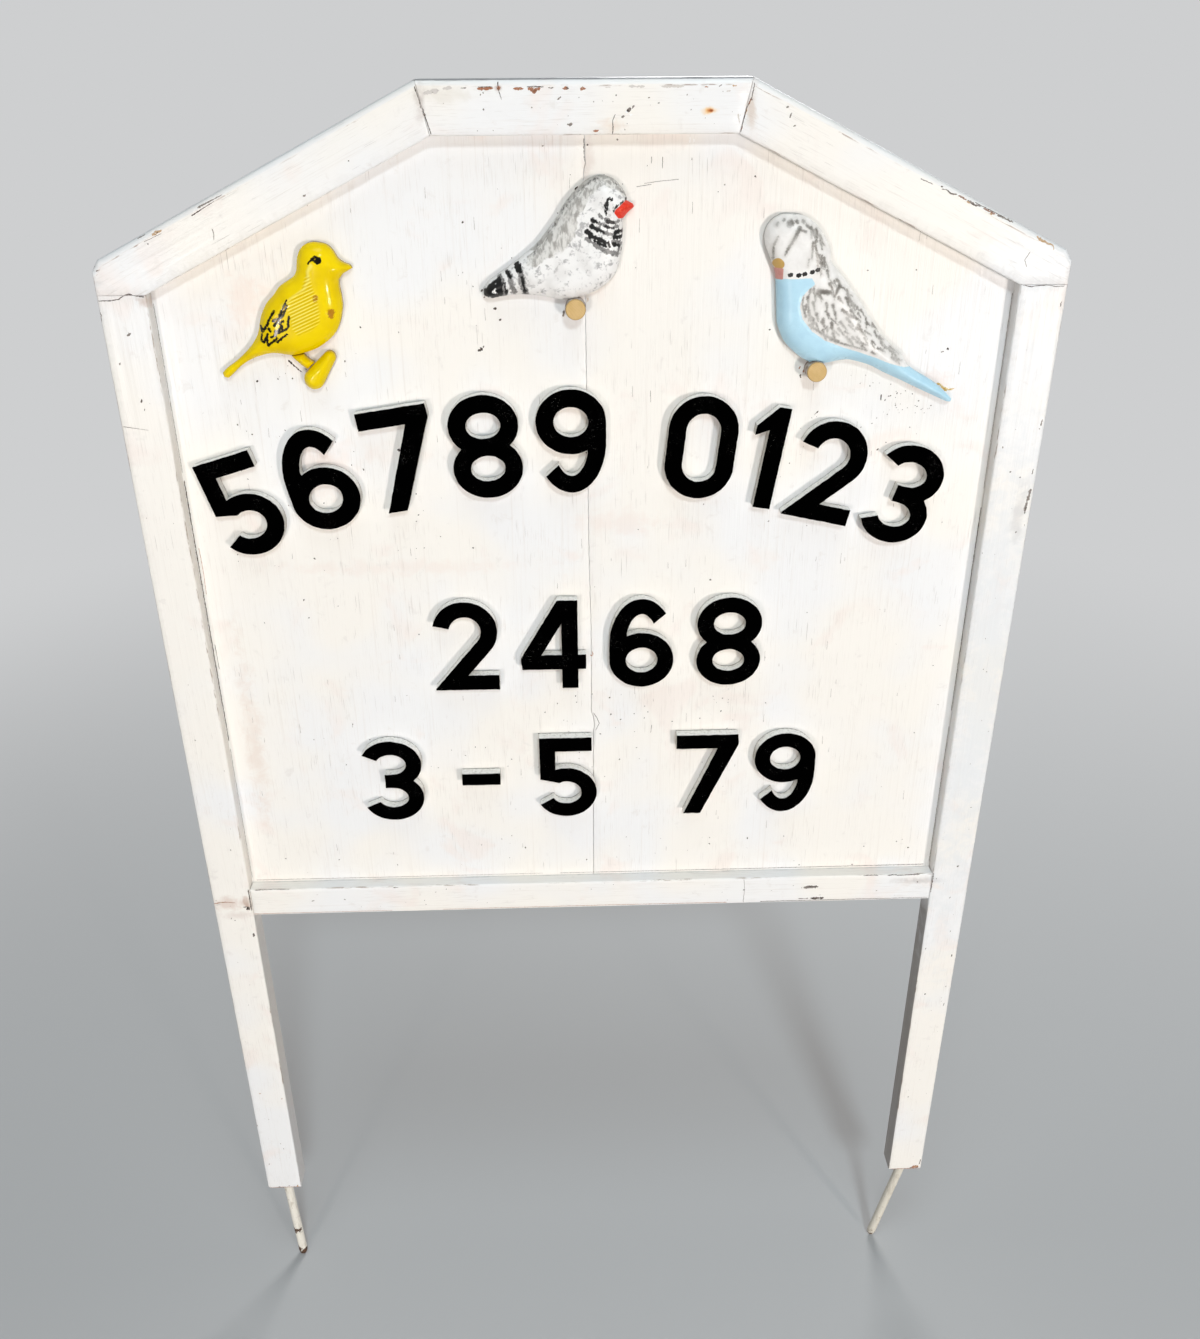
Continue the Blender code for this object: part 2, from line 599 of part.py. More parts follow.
def carving(name, outline, scale, place, paint):
    """A carving with a flat back, low edges and a rounded face, inside a closed outline."""
    line = [Vector(point) * scale for point in outline]
    low = Vector((min(p.x for p in line), min(p.y for p in line)))
    high = Vector((max(p.x for p in line), max(p.y for p in line)))
    grid = []
    row_height = CARVING_GRID * math.sqrt(3) / 2
    for row in range(int((high.y - low.y) / row_height) + 1):
        for column in range(int((high.x - low.x) / CARVING_GRID) + 2):
            shift = (row % 2) / 2
            point = low + Vector(((column - shift) * CARVING_GRID, row * row_height))
            depth, inside = distance_to(line, point)
            if inside and depth > CARVING_GRID * 0.45:
                grid.append(point)
    loop = list(range(len(line)))
    found = delaunay_2d_cdt(line + grid, [], [loop], 1, 1e-6)
    points, faces = found[0], found[2]
    x, drop = place
    z = CROWN - drop
    base = PANEL_FRONT - FIT_GAP
    shape = bmesh.new()
    face_points = []
    for index, point in enumerate(points):
        depth = 0.0 if index < len(line) else distance_to(line, point)[0]
        face_points.append(shape.verts.new((x + point.x, base - carved_height(depth), z + point.y)))
    back_points = [shape.verts.new((x + point.x, base, z + point.y)) for point in line]
    for corners in faces:
        shape.faces.new([face_points[corner] for corner in corners])
    for i in loop:
        j = (i + 1) % len(loop)
        shape.faces.new((face_points[i], back_points[i], back_points[j], face_points[j]))
    shape.faces.new(back_points[::-1])
    return add_mesh(name, shape, paint, smooth=True)


def make_perch(name, place, offset, scale, bird, wood):
    """A short round perch planted on the panel. The bird is scooped out where it sits on it."""
    x, z = place[0] + offset[0] * scale, CROWN - place[1] + offset[1] * scale
    base, radius = PANEL_FRONT - FIT_GAP, PERCH_DIAMETER / 2
    path = ((x, base, z), (x, base - PERCH_LENGTH, z))
    add_mesh(name, swept(path, (radius, radius), 24), wood, smooth=True)
    path = ((x, base + PAST, z), (x, base - PERCH_LENGTH - PAST, z))
    scoop = swept(path, (radius + FIT_GAP,) * 2, 24)
    cut(bird, add_cutter(f"{name}_scoop", scoop))


def foot_outline():
    """A tapered block with round ends."""
    (x0, z0, r0), (x1, z1, r1) = FOOT_SMALL_END, FOOT_LARGE_END
    heading = math.degrees(math.atan2(z1 - z0, x1 - x0))
    small = oval(x0, z0, r0, r0, heading + 90, heading + 270, 6)
    large = oval(x1, z1, r1, r1, heading - 90, heading + 90, 8)
    return small + large


def make_canary(board, paint, steel):
    scale = drawing_scale(CANARY_OUTLINE, CANARY_LENGTH)
    body = carving("canary_body", CANARY_OUTLINE, scale, CANARY_PLACE, paint)
    carving("canary_leg", CANARY_LEG_OUTLINE, scale, CANARY_PLACE, paint)
    carving("canary_foot", foot_outline(), scale, CANARY_PLACE, paint)
    radius = PIN_DIAMETER / 2
    base = PANEL_FRONT - FIT_GAP
    for label, offset in zip(("upper", "lower"), CANARY_PINS):
        x, z = CANARY_PLACE[0] + offset[0] * scale, CROWN - CANARY_PLACE[1] + offset[1] * scale
        edge = [Vector(point) * scale for point in CANARY_OUTLINE]
        depth = distance_to(edge, Vector(offset) * scale)[0]
        head = base - carved_height(depth) + PIN_SUNK
        point = PANEL_FRONT + PIN_IN_PANEL
        path = ((x, head, z), (x, point - PIN_DIAMETER, z), (x, point, z))
        add_mesh(f"canary_pin_{label}", swept(path, (radius, radius, radius / 3), 10), steel, smooth=True)
        path = ((x, head - PAST, z), (x, point + FIT_GAP, z))
        hole = add_cutter(f"canary_pin_{label}_hole", swept(path, (radius + FIT_GAP,) * 2, 10))
        cut(body, hole)
        cut(board, hole)


def make_finch(paint, wood):
    scale = drawing_scale(FINCH_OUTLINE, FINCH_LENGTH)
    body = carving("finch_body", FINCH_OUTLINE, scale, FINCH_PLACE, paint)
    make_perch("finch_perch", FINCH_PLACE, FINCH_PERCH, scale, body, wood)


def make_budgerigar(paint, wood):
    scale = drawing_scale(BUDGERIGAR_OUTLINE, BUDGERIGAR_LENGTH)
    body = carving("budgerigar_body", BUDGERIGAR_OUTLINE, scale, BUDGERIGAR_PLACE, paint)
    make_perch("budgerigar_perch", BUDGERIGAR_PLACE, BUDGERIGAR_PERCH, scale, body, wood)


def main():
    clear_scene()
    white = finish_of("white_paint", (0.80, 0.76, 0.72), 0.45)
    black = finish_of("black_enamel", (0.012, 0.012, 0.012), 0.30)
    yellow = finish_of("yellow_enamel", (0.86, 0.62, 0.01), 0.22)
    grey = finish_of("grey_white_enamel", (0.62, 0.62, 0.61), 0.35)
    blue = finish_of("sky_blue_enamel", (0.42, 0.68, 0.84), 0.30)
    birch = finish_of("bare_dowel", (0.62, 0.44, 0.20), 0.60)
    steel = finish_of("screw_steel", (0.50, 0.49, 0.47), 0.40, 1.0)
    cream = finish_of("cream_painted_steel", (0.72, 0.68, 0.55), 0.45)
    frame = make_frame(white, rebate_cutter())
    boards = make_panel(white)
    make_dowels(frame, birch)
    make_battens(frame, boards, white, steel)
    make_spikes(frame, cream)
    make_numbers(black)
    make_canary(boards["left"], yellow, steel)
    make_finch(grey, birch)
    make_budgerigar(blue, birch)


main()
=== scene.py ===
# %% [markdown]
# # A painted garden sign, dressed for its picture
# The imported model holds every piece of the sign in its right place: frame timbers, two panel boards,
# raised numbers, three carved birds, dowels, battens, screws and spikes. This script gives each piece the
# shape and the paint that the camera sees. It starts from that model, so that nothing has to be fitted by
# eye.

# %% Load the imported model
import json
import math
import random
from contextlib import contextmanager

import bmesh
import bpy
import numpy as np
from mathutils import Matrix, Vector
from mathutils.geometry import convex_hull_2d, delaunay_2d_cdt

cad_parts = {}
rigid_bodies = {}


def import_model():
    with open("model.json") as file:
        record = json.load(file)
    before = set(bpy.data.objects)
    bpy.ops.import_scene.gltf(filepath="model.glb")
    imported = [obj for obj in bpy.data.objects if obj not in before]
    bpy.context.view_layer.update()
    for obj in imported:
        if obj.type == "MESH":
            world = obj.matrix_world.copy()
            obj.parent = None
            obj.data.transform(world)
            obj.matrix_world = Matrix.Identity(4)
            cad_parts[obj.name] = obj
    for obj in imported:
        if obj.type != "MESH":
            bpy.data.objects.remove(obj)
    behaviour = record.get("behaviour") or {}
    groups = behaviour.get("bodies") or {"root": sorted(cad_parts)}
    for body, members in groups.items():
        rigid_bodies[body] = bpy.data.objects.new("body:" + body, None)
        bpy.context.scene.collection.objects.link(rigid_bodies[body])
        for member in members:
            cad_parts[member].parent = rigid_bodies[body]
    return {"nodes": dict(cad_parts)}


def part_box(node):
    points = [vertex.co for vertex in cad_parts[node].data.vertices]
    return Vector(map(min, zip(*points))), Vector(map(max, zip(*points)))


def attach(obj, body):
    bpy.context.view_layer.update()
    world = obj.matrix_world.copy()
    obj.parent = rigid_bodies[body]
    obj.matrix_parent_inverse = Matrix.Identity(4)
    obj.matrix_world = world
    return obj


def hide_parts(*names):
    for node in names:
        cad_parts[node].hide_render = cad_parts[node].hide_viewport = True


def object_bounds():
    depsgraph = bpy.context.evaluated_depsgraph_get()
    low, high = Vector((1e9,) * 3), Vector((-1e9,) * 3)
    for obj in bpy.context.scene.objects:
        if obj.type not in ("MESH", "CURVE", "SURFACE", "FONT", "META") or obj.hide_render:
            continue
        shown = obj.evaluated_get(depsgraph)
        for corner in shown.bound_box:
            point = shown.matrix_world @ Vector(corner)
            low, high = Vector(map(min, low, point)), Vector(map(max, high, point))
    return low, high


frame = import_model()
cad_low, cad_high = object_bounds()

nodes = frame["nodes"]
print(f"{len(nodes)} pieces, {(cad_high - cad_low)[0]:.3f} m wide and {(cad_high - cad_low)[2]:.3f} m tall")

# %% [markdown]
# ## Where the camera stands
# The picture was taken from close by and a little above the top rail, looking down, so the legs draw
# together towards the ground. A camera could be turned by three angles, but a mix-up of their order is
# easy. Here its three directions are worked out one by one, and they become the columns of its matrix.

# %% Camera
LENS_MM = 32.13
CAMERA_PLACE = Vector((-0.0214, -1.158, 1.3777))
LOOKS_DOWN, TURNS_RIGHT, LEANS = (math.radians(angle) for angle in (27.235, 1.553, -0.416))


def add_object(name, data):
    thing = bpy.data.objects.new(name, data)
    bpy.context.collection.objects.link(thing)
    return thing


level = Vector((math.cos(TURNS_RIGHT), -math.sin(TURNS_RIGHT), 0))
ahead = Vector((math.sin(TURNS_RIGHT), math.cos(TURNS_RIGHT), 0)) * math.cos(LOOKS_DOWN)
ahead.z = -math.sin(LOOKS_DOWN)
upright = level.cross(ahead)
right = level * math.cos(LEANS) + upright * math.sin(LEANS)
up = upright * math.cos(LEANS) - level * math.sin(LEANS)
camera = add_object("camera", bpy.data.cameras.new("camera"))
camera.data.lens = LENS_MM
camera.matrix_world = Matrix.Translation(CAMERA_PLACE) @ Matrix((right, up, -ahead)).transposed().to_4x4()
bpy.context.scene.camera = camera
bpy.context.scene.view_settings.view_transform = "Standard"
print("camera", round((CAMERA_PLACE - Vector((0, 0, 0.9))).length, 2), "m from the middle of the board")

# %% [markdown]
# ## Nodes that can be added up
# Materials and Geometry Nodes are both built from nodes. One helper adds a node and plugs in its inputs,
# which are plain values or other nodes' outputs. It gives back a `Value`, which can be added and
# multiplied like a number, so that a chain of Math nodes is written as a formula.

# %% Nodes and values
def add_node(tree, kind, inputs=None, output=0, **settings):
    node = tree.nodes.new(kind)
    for name, value in settings.items():
        setattr(node, name, value)
    for key, value in (inputs or {}).items():
        if isinstance(value, Value):
            tree.links.new(value.socket, node.inputs[key])
        else:
            node.inputs[key].default_value = value
    return Value(node, output)


class Value:
    """One output of a node. Each sum, product or other step adds a node to the same tree."""

    def __init__(self, node, output=0):
        self.node, self.tree = node, node.id_data
        self.socket = node.outputs[output] if len(node.outputs) else None

    def math(self, operation, other=0.5):
        return add_node(self.tree, "ShaderNodeMath", {0: self, 1: other}, operation=operation)

    def __add__(self, other):
        return self.math("ADD", other)

    def __sub__(self, other):
        return self.math("SUBTRACT", other)

    def __rsub__(self, other):
        return add_node(self.tree, "ShaderNodeMath", {0: other, 1: self}, operation="SUBTRACT")

    def __mul__(self, other):
        return self.math("MULTIPLY", other)

    def __or__(self, other):
        """The larger of two masks."""
        return self.math("MAXIMUM", other)

    def __abs__(self):
        return self.math("ABSOLUTE")

    def ramp(self, low, high, start=0.0, end=1.0):
        """Start below low, end above high, and a smooth change between."""
        sockets = {"Value": self, "From Min": low, "From Max": high, "To Min": start, "To Max": end}
        return add_node(self.tree, "ShaderNodeMapRange", sockets, interpolation_type="SMOOTHSTEP")

    def vector(self, operation, other=(0, 0, 0), output=0):
        return add_node(self.tree, "ShaderNodeVectorMath", {0: self, 1: other}, output, operation=operation)

    def scaled(self, amount):
        return add_node(self.tree, "ShaderNodeVectorMath", {0: self, "Scale": amount}, operation="SCALE")

    def part(self, axis):
        return add_node(self.tree, "ShaderNodeSeparateXYZ", {0: self}, axis)


def rgb(red, green, blue):
    """The linear colour that Blender needs for a colour read off a screen, 0 to 255."""
    shares = (value / 255 for value in (red, green, blue))
    return tuple(s / 12.92 if s <= 0.04045 else ((s + 0.055) / 1.055) ** 2.4 for s in shares) + (1.0,)


# %% [markdown]
# ## Finishes from small steps
# A painted finish is a chain of small steps: where on the piece, how streaky, how dirty, which colour. The
# class below keeps such a chain short to write, and `layers` lays its colours over each other, each where
# its mask is 1. Patterns read Object coordinates, or attributes stored on the mesh: `grain` is how far a
# point is along the timber, across it and into it, in metres, and `rim` is its distance from the front
# arris in millimetres, below zero round the corner.

# %% Finish helper
class Finish:
    """A Principled material in the making."""

    def __init__(self, name, **fixed):
        self.material = bpy.data.materials.new(name)
        self.material.use_nodes = True
        self.tree = self.material.node_tree
        self.shader = self.tree.nodes["Principled BSDF"]
        for key, value in fixed.items():
            self.shader.inputs[key.replace("_", " ")].default_value = value

    def attribute(self, name):
        return add_node(self.tree, "ShaderNodeAttribute", output="Vector" if name == "grain" else "Fac",
                        attribute_name=name)

    def attributes(self, *names):
        return [self.attribute(name) for name in names]

    def place(self):
        return add_node(self.tree, "ShaderNodeTexCoord", output="Object")

    def faces(self, axis):
        """How far a surface faces along an axis, from -1 to 1."""
        return add_node(self.tree, "ShaderNodeNewGeometry", output="Normal").part(axis)

    def noise(self, scale, detail=3.0, rough=0.5, warp=0.0, stretch=None, grain=None):
        """Noise in Object coordinates, or along the grain, either of them drawn out by three factors."""
        vector = self.attribute("grain") if grain else self.place()
        if stretch or grain:
            vector = vector.vector("MULTIPLY", stretch or grain)
        sockets = {"Vector": vector, "Scale": scale, "Detail": detail, "Roughness": rough, "Distortion": warp}
        return add_node(self.tree, "ShaderNodeTexNoise", sockets)

    def layers(self, colour, *coats):
        """Lays coats over a first colour. Each is a mask and a colour, which may be layers of its own."""
        for mask, over in coats:
            under, over = (c if isinstance(c, Value) else rgb(*c) for c in (colour, over))
            colour = add_node(self.tree, "ShaderNodeMix", {0: mask, 6: under, 7: over}, 2, data_type="RGBA")
        return colour

    def finish(self, colour, roughness, height, depth, strength=1.0):
        """Plugs in the colour, the roughness, and a height in shares of depth, which is in metres."""
        sockets = {"Height": height, "Distance": depth, "Strength": strength}
        bump = add_node(self.tree, "ShaderNodeBump", sockets)
        for key, value in (("Base Color", colour), ("Roughness", roughness), ("Normal", bump)):
            self.tree.links.new(value.socket, self.shader.inputs[key])
        print(self.material.name, len(self.tree.nodes), "nodes")
        return self.material


# %% [markdown]
# ## Light and backdrop
# The shadows tell how the sign was lit. One lies below the top rail, so a lamp stood above and a little to
# the right. Each number throws a short one to its left and a weaker one to its right, so two lamps stood
# low, one on each side. The tops of the numbers are almost white: a large soft lamp overhead gives that.
# One more lamp lights the back. The floor runs on into the background: for camera rays its material fades
# to the world's own grey, so no horizon shows.

# %% Lamps
MIDDLE = Vector((0, 0, 0.7))
WARM, COOL, NEUTRAL = (1.0, 0.91, 0.85), (0.90, 1.03, 1.10), (1, 1, 1)
LAMPS = {"above": ((1.2, -6.7, 5.7), 1.2, 200, COOL), "overhead": ((0.0, -2.0, 6.5), 2.8, 70, COOL),
         "left": ((-1.35, -3.4, 0.5), 0.4, 28.5, WARM), "right": ((2.6, -4.5, 0.5), 0.5, 106, WARM),
         "behind": ((0.8, 2.8, 2.4), 1.6, 58, NEUTRAL)}
for name, (place, size, power, colour) in LAMPS.items():
    lamp = add_object(f"lamp_{name}", bpy.data.lights.new(f"lamp_{name}", "AREA"))
    lamp.data.shape = "DISK"
    lamp.data.size = size
    lamp.data.energy = power
    lamp.data.color = colour
    lamp.location = place
    lamp.rotation_euler = (MIDDLE - lamp.location).to_track_quat("-Z", "Y").to_euler()
    lamp.visible_camera = False
print(len(LAMPS), "lamps")

# %% World and floor
BACKDROP, FLOOR = rgb(206, 207, 208), rgb(200, 200, 200)
AMBIENT, FLOOR_RADIUS = 0.09, 40


@contextmanager
def editing(mesh):
    """A mesh opened for editing. It is written back when the with block ends."""
    shape = bmesh.new()
    shape.from_mesh(mesh)
    yield shape
    shape.to_mesh(mesh)
    shape.free()


def background_rays(tree):
    """1 for rays that should see the backdrop: the camera's own, and those through gloss and glass."""
    camera_ray, glossy, through = (add_node(tree, "ShaderNodeLightPath", output=f"Is {kind} Ray")
                                   for kind in ("Camera", "Glossy", "Transmission"))
    rays = camera_ray + glossy + through
    rays.node.use_clamp = True
    return rays


world = bpy.data.worlds.new("studio")
world.use_nodes = True
bpy.context.scene.world = world
tree = world.node_tree
tree.nodes.clear()
light = add_node(tree, "ShaderNodeBackground", {"Color": (1.0, 0.98, 0.96, 1.0), "Strength": AMBIENT})
seen = add_node(tree, "ShaderNodeBackground", {"Color": BACKDROP, "Strength": 1.0})
mixed = add_node(tree, "ShaderNodeMixShader", {0: background_rays(tree), 1: light, 2: seen})
add_node(tree, "ShaderNodeOutputWorld", {"Surface": mixed})

paint = Finish("studio_floor", Base_Color=FLOOR, Roughness=0.9, Specular_IOR_Level=0.1)
fade = paint.place().vector("LENGTH", output="Value").ramp(0.7, 3.2) * background_rays(paint.tree)
glow = add_node(paint.tree, "ShaderNodeEmission", {"Color": BACKDROP, "Strength": 1.0})
mixed = add_node(paint.tree, "ShaderNodeMixShader", {0: fade, 1: Value(paint.shader), 2: glow})
paint.tree.links.new(mixed.socket, paint.tree.nodes["Material Output"].inputs["Surface"])

floor = add_object("studio_floor", bpy.data.meshes.new("studio_floor"))
with editing(floor.data) as shape:
    bmesh.ops.create_circle(shape, cap_ends=True, segments=64, radius=FLOOR_RADIUS)
floor.data.transform(Matrix.Translation((0, 0, cad_low.z)))
floor.data.materials.append(paint.material)
print("floor at", round(cad_low.z, 4))

# %% [markdown]
# ## White gloss paint on the timber
# The frame was brushed with white gloss and has stood outdoors. Brush marks and the grain under the paint
# run along each timber, so the pattern reads `grain` and is drawn out along it. Dirt gathers at the
# arrises, and just round them the faces that don't face up get dirt and painted shade. The rounded top
# arris, whose distance is stored as `crown`, is cooler, and grey along its far edge from weathering and
# painted shade. The inner sides of the legs get painted shade. A few stains have places of their own, and
# the long one down the right stile is partly painted shade. A photographed texture would show all this
# too, but it would be one fixed picture. These steps make it fresh on any timber of any length.

# %% White paint
EDGE_BROWN, GRIME, CROWN_GREY_AND_SHADE, LEG_SHADE = (146, 118, 100), (92, 82, 76), (112, 112, 116), (136, 128, 122)


def crown_wear_and_shade(paint, colour, rim, runs, blotches):
    """The rounded top arris: cooler paint, weathering and painted shade on its far edge, worn runs on its
    near one.
    """
    crown, x, z = paint.attribute("crown"), paint.place().part("X"), paint.place().part("Z")
    sideways = paint.faces("X")
    uneven = blotches.ramp(0.3, 0.7, -0.9, 0.9)
    # Grey far back on upward faces and along the top rail's top: weathering and painted shade
    far = (rim + uneven).ramp(-19.0, -13.5, 0.9, 0.0) * paint.faces("Z").ramp(0.70, 0.80)
    near = (z + uneven * 0.0002).ramp(1.3582, 1.3592) * rim.ramp(-5.0, -1.5, 0.0, 0.75)
    lip = abs(crown - 6.0).ramp(0.15, 0.9, 0.8, 0.0)
    # Painted shade on the sides of the legs that face inwards, below the bottom rail, most on the right leg
    right_leg = sideways.ramp(-0.9, -0.6, 0.8, 0.0) * x.ramp(0.1, 0.2)
    left_leg = sideways.ramp(0.6, 0.9, 0.0, 0.3) * x.ramp(-0.2, -0.1, 1.0, 0.0)
    inner_side_shade = (right_leg | left_leg) * z.ramp(0.44, 0.47, 1.0, 0.0)
    return paint.layers(colour, (crown.ramp(4.4, 5.8, 0.6, 0.0), (235, 237, 238)), (far | near, CROWN_GREY_AND_SHADE),
                        (lip * runs, EDGE_BROWN), (inner_side_shade, LEG_SHADE))


def white_paint(name, checks, edge_dirt, roughness, stains=(), thin=0.0, crowned=False):
    """Gloss paint on softwood: checks along the grain, dirt at the arris, stains, and how thin it is."""
    paint = Finish(name, Specular_IOR_Level=0.4)
    rim = paint.attribute("rim")
    streaks, brush = (paint.noise(1, d, 0.6, grain=g) for d, g in ((5, (5, 330, 330)), (3, (38, 820, 820))))
    patches, pinkish = paint.noise(6, 2), paint.noise(17, 3, warp=0.6)
    blotches = paint.noise(60, 4, 0.65, 0.4)
    # Fine cracks along the grain, only in some areas
    lines = paint.noise(1, 2, 0.4, grain=(26, 1500, 1500))
    crack = lines.ramp(0.69, 0.73) * paint.noise(11, 1).ramp(0.48, 0.58) * checks
    # A few fine specks of dirt, each in its own cell, most of them too small to see
    cells = add_node(paint.tree, "ShaderNodeTexVoronoi", {"Vector": paint.place(), "Scale": 62}, "Distance")
    speck = (cells + paint.noise(47, 1).ramp(0.56, 0.74, 0.10, 0.0)).ramp(0.034, 0.062, 1.0, 0.0)
    # Dirt that lies along the arris in runs
    ragged, wide_runs = paint.noise(1, 4, 0.65, grain=(70, 500, 500)), paint.noise(1, 2, grain=(11, 30, 30))
    runs = ragged.ramp(0.48, 0.60) * wide_runs.ramp(0.46, 0.58)
    smear = abs(rim - 0.2).ramp(0.2, 1.3, 1.0, 0.0) * runs * edge_dirt
    # Just round the arris, faces that don't face up get dirt and painted shade
    sides = rim.ramp(-2.2, -0.4, 0.3, 0.0) * paint.faces("Z").ramp(0.3, 0.7, 1.0, 0.0)
    colour = paint.layers(
        (246, 242, 235), (patches.ramp(0.42, 0.62), (241, 241, 241)),
        (pinkish.ramp(0.56, 0.72, 0.0, 0.5), (242, 230, 223)),
        (blotches.ramp(0.60, 0.74, 0.0, 0.35), (222, 217, 212)),
        (streaks.ramp(0.54, 0.76, 0.0, 0.24 + thin), (214, 204, 194)),
        (brush.ramp(0.54, 0.70, 0.0, 0.36) * pinkish.ramp(0.42, 0.60, 0.1, 1.0), (206, 199, 192)),
        (crack, (140, 130, 122)), (speck * 0.85, GRIME), (smear, EDGE_BROWN), (sides, (192, 183, 175)))
    if crowned:
        colour = crown_wear_and_shade(paint, colour, rim, runs, blotches)
    for x, z, wide, high, strength, tone in stains:
        spot = paint.place().vector("SUBTRACT", (x / 1000, 0, z / 1000))
        spot = spot.vector("MULTIPLY", (1000 / wide, 0, 1000 / high)).vector("LENGTH", output="Value")
        spot = (spot + blotches.ramp(0.25, 0.75, -0.3, 0.5)).ramp(0.15, 1.1, strength, 0.0)
        colour = paint.layers(colour, (spot, tone))
    rough = streaks.ramp(0.3, 0.8, roughness - 0.06, roughness + 0.16) | smear * 0.75
    return paint.finish(colour, rough, streaks + brush * 0.5 - crack * 1.4, 0.0004, 0.6)


# Each stain: its middle in X and Z, how wide and high it is, all in millimetres, how strong, and its colour
FRAME_STAINS = (
    (110.3, 1333.6, 10, 4.2, 0.85, (240, 190, 104)), (110.3, 1333.6, 4.4, 2.2, 1, (190, 96, 16)),
    (110.3, 1333.6, 2, 1.1, 0.9, (128, 62, 20)), (-124, 1348, 40, 9, 0.4, (220, 214, 202)),
    (-436, 487, 34, 14, 0.5, (208, 180, 166)), (-424, 470, 24, 8, 0.35, (200, 178, 168)),
    (-410, 487, 7, 14, 0.7, (176, 140, 118)), (24, 1322, 16, 8, 0.55, (228, 205, 186)),
    (-74, 1352, 5, 4, 0.8, (150, 106, 84)), (386, 496, 40, 7, 0.45, (170, 160, 154)),
    (-142, 1340, 6, 20, 0.5, (190, 178, 172)), (145, 1338, 7, 22, 0.55, (206, 184, 164)),
    # The long grey patch down the right stile is partly painted shade, to tone down the right lamp's light
    (428, 760, 60, 460, 0.6, (226, 229, 231)), (438, 960, 10, 40, 0.35, (190, 184, 180)),
    (-408, 1178, 9, 8, 0.6, (188, 164, 148)),
)
PANEL_STAINS = (
    (-318, 1176, 30, 34, 0.4, (238, 214, 202)), (-270, 1010, 46, 40, 0.35, (240, 220, 208)),
    (30, 950, 60, 20, 0.3, (236, 216, 206)), (330, 1092, 34, 16, 0.45, (232, 208, 196)),
    (-376, 700, 14, 160, 0.4, (226, 204, 190)), (2, 1290, 7, 26, 0.4, (216, 198, 188)),
    (-6, 1196, 26, 9, 0.35, (232, 206, 200)), (-190, 905, 180, 12, 0.25, (238, 218, 208)),
)
frame_white = white_paint("white_gloss_on_frame", 0.4, 0.75, 0.34, FRAME_STAINS, crowned=True)
panel_white = white_paint("white_gloss_on_panel", 0.6, 0.0, 0.38, PANEL_STAINS)
batten_white = white_paint("thin_white_on_battens", 0.8, 0.8, 0.5, thin=0.25)

# %% [markdown]
# ## Pieces cut from flat board
# Nearly every piece of the sign was cut from a flat board: its outline was drawn, sawn, and the front
# arris eased. One builder makes them all. It places points inside the outline, with rows close to every
# eased arris, and joins them into triangles that never cross the outline. The depth of each point follows
# from its distance to the edge. Extruding a filled curve would be quicker, but it can't ease one arris
# more than another, and it gives no points for paint and wear to follow.

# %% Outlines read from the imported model
def merged_copy(node):
    """A closed working copy of a CAD piece, whose own mesh is loose triangles."""
    shape = bmesh.new()
    shape.from_mesh(nodes[node].data)
    bmesh.ops.remove_doubles(shape, verts=shape.verts, dist=1e-6)
    bmesh.ops.dissolve_limit(shape, angle_limit=0.01, verts=shape.verts, edges=shape.edges)
    return shape


def outlines_of(node):
    """The outline of a piece's flat back and of each hole in it, as lists of X and Z, largest first."""
    shape = merged_copy(node)
    deep = max(vert.co.y for vert in shape.verts)
    flat = {face for face in shape.faces if all(abs(vert.co.y - deep) < 1e-5 for vert in face.verts)}
    # The faces are walked in the mesh's own order, so that the outline starts at the same point on each run
    follow = {loop.vert: loop.link_loop_next.vert for face in shape.faces if face in flat
              for loop in face.loops if loop.link_loop_radial_next.face not in flat}
    found = []
    while follow:
        vert, line = next(iter(follow)), []
        while vert in follow:
            line.append((vert.co.x, vert.co.z))
            vert = follow.pop(vert)
        found.append(np.array(line))
    shape.free()
    found.sort(key=lambda line: -abs(area_of(line)))
    # The outer outline runs anticlockwise, and holes run clockwise
    return [line if (area_of(line) > 0) == (i == 0) else line[::-1] for i, line in enumerate(found)]


def area_of(line):
    x, z = line.T
    return 0.5 * np.sum(x * np.roll(z, -1) - np.roll(x, -1) * z)


def box_corners(node):
    low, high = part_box(node)
    return [(low.x, low.z), (high.x, low.z), (high.x, high.z), (low.x, high.z)]


def far_corner(node, across, upward):
    """The point of a CAD piece that lies farthest in one direction, as X and Z."""
    return max(((vert.co.x, vert.co.z) for vert in nodes[node].data.vertices),
               key=lambda point: point[0] * across + point[1] * upward)


# %% Distances to an outline
def segments_of(loops):
    return np.concatenate(loops), np.concatenate([np.roll(line, -1, axis=0) for line in loops])


def segment_gaps(points, starts, ends):
    """Distance from every point to every segment, as a table of points by segments."""
    sides = ends - starts
    lengths = np.maximum((sides ** 2).sum(1), 1e-16)
    gaps = points[:, None] - starts
    along = np.clip((gaps * sides).sum(2) / lengths, 0, 1)
    return np.linalg.norm(gaps - along[..., None] * sides, axis=2)


def in_parts(work, points, size=4000):
    """Runs a table calculation on a few thousand points at a time, to spare memory."""
    return np.concatenate([work(points[i:i + size]) for i in range(0, len(points), size)])


def edge_gap(points, starts, ends):
    """Distance from every point to the nearest segment."""
    return in_parts(lambda part: segment_gaps(part, starts, ends).min(1), points)


def is_inside(points, loops):
    """Whether each point is inside the outline and outside its holes."""
    odd = np.zeros(len(points), bool)
    px, pz = points[:, :1], points[:, 1:]
    for line in loops:
        (x0, z0), (x1, z1) = line.T, np.roll(line, -1, axis=0).T
        with np.errstate(divide="ignore", invalid="ignore"):
            crosses = px < x0 + (pz - z0) * (x1 - x0) / (z1 - z0)
        odd ^= (((z0 > pz) != (z1 > pz)) & crosses).sum(1) % 2 == 1
    return odd


# %% The board cutter
PROFILE, WIDE_PROFILE, WIDE = (0.13, 0.37, 0.68, 1.0), (0.06, 0.13, 0.23, 0.36, 0.52, 0.70, 0.88, 1.0), 0.003
GRID_ROW = 0.866


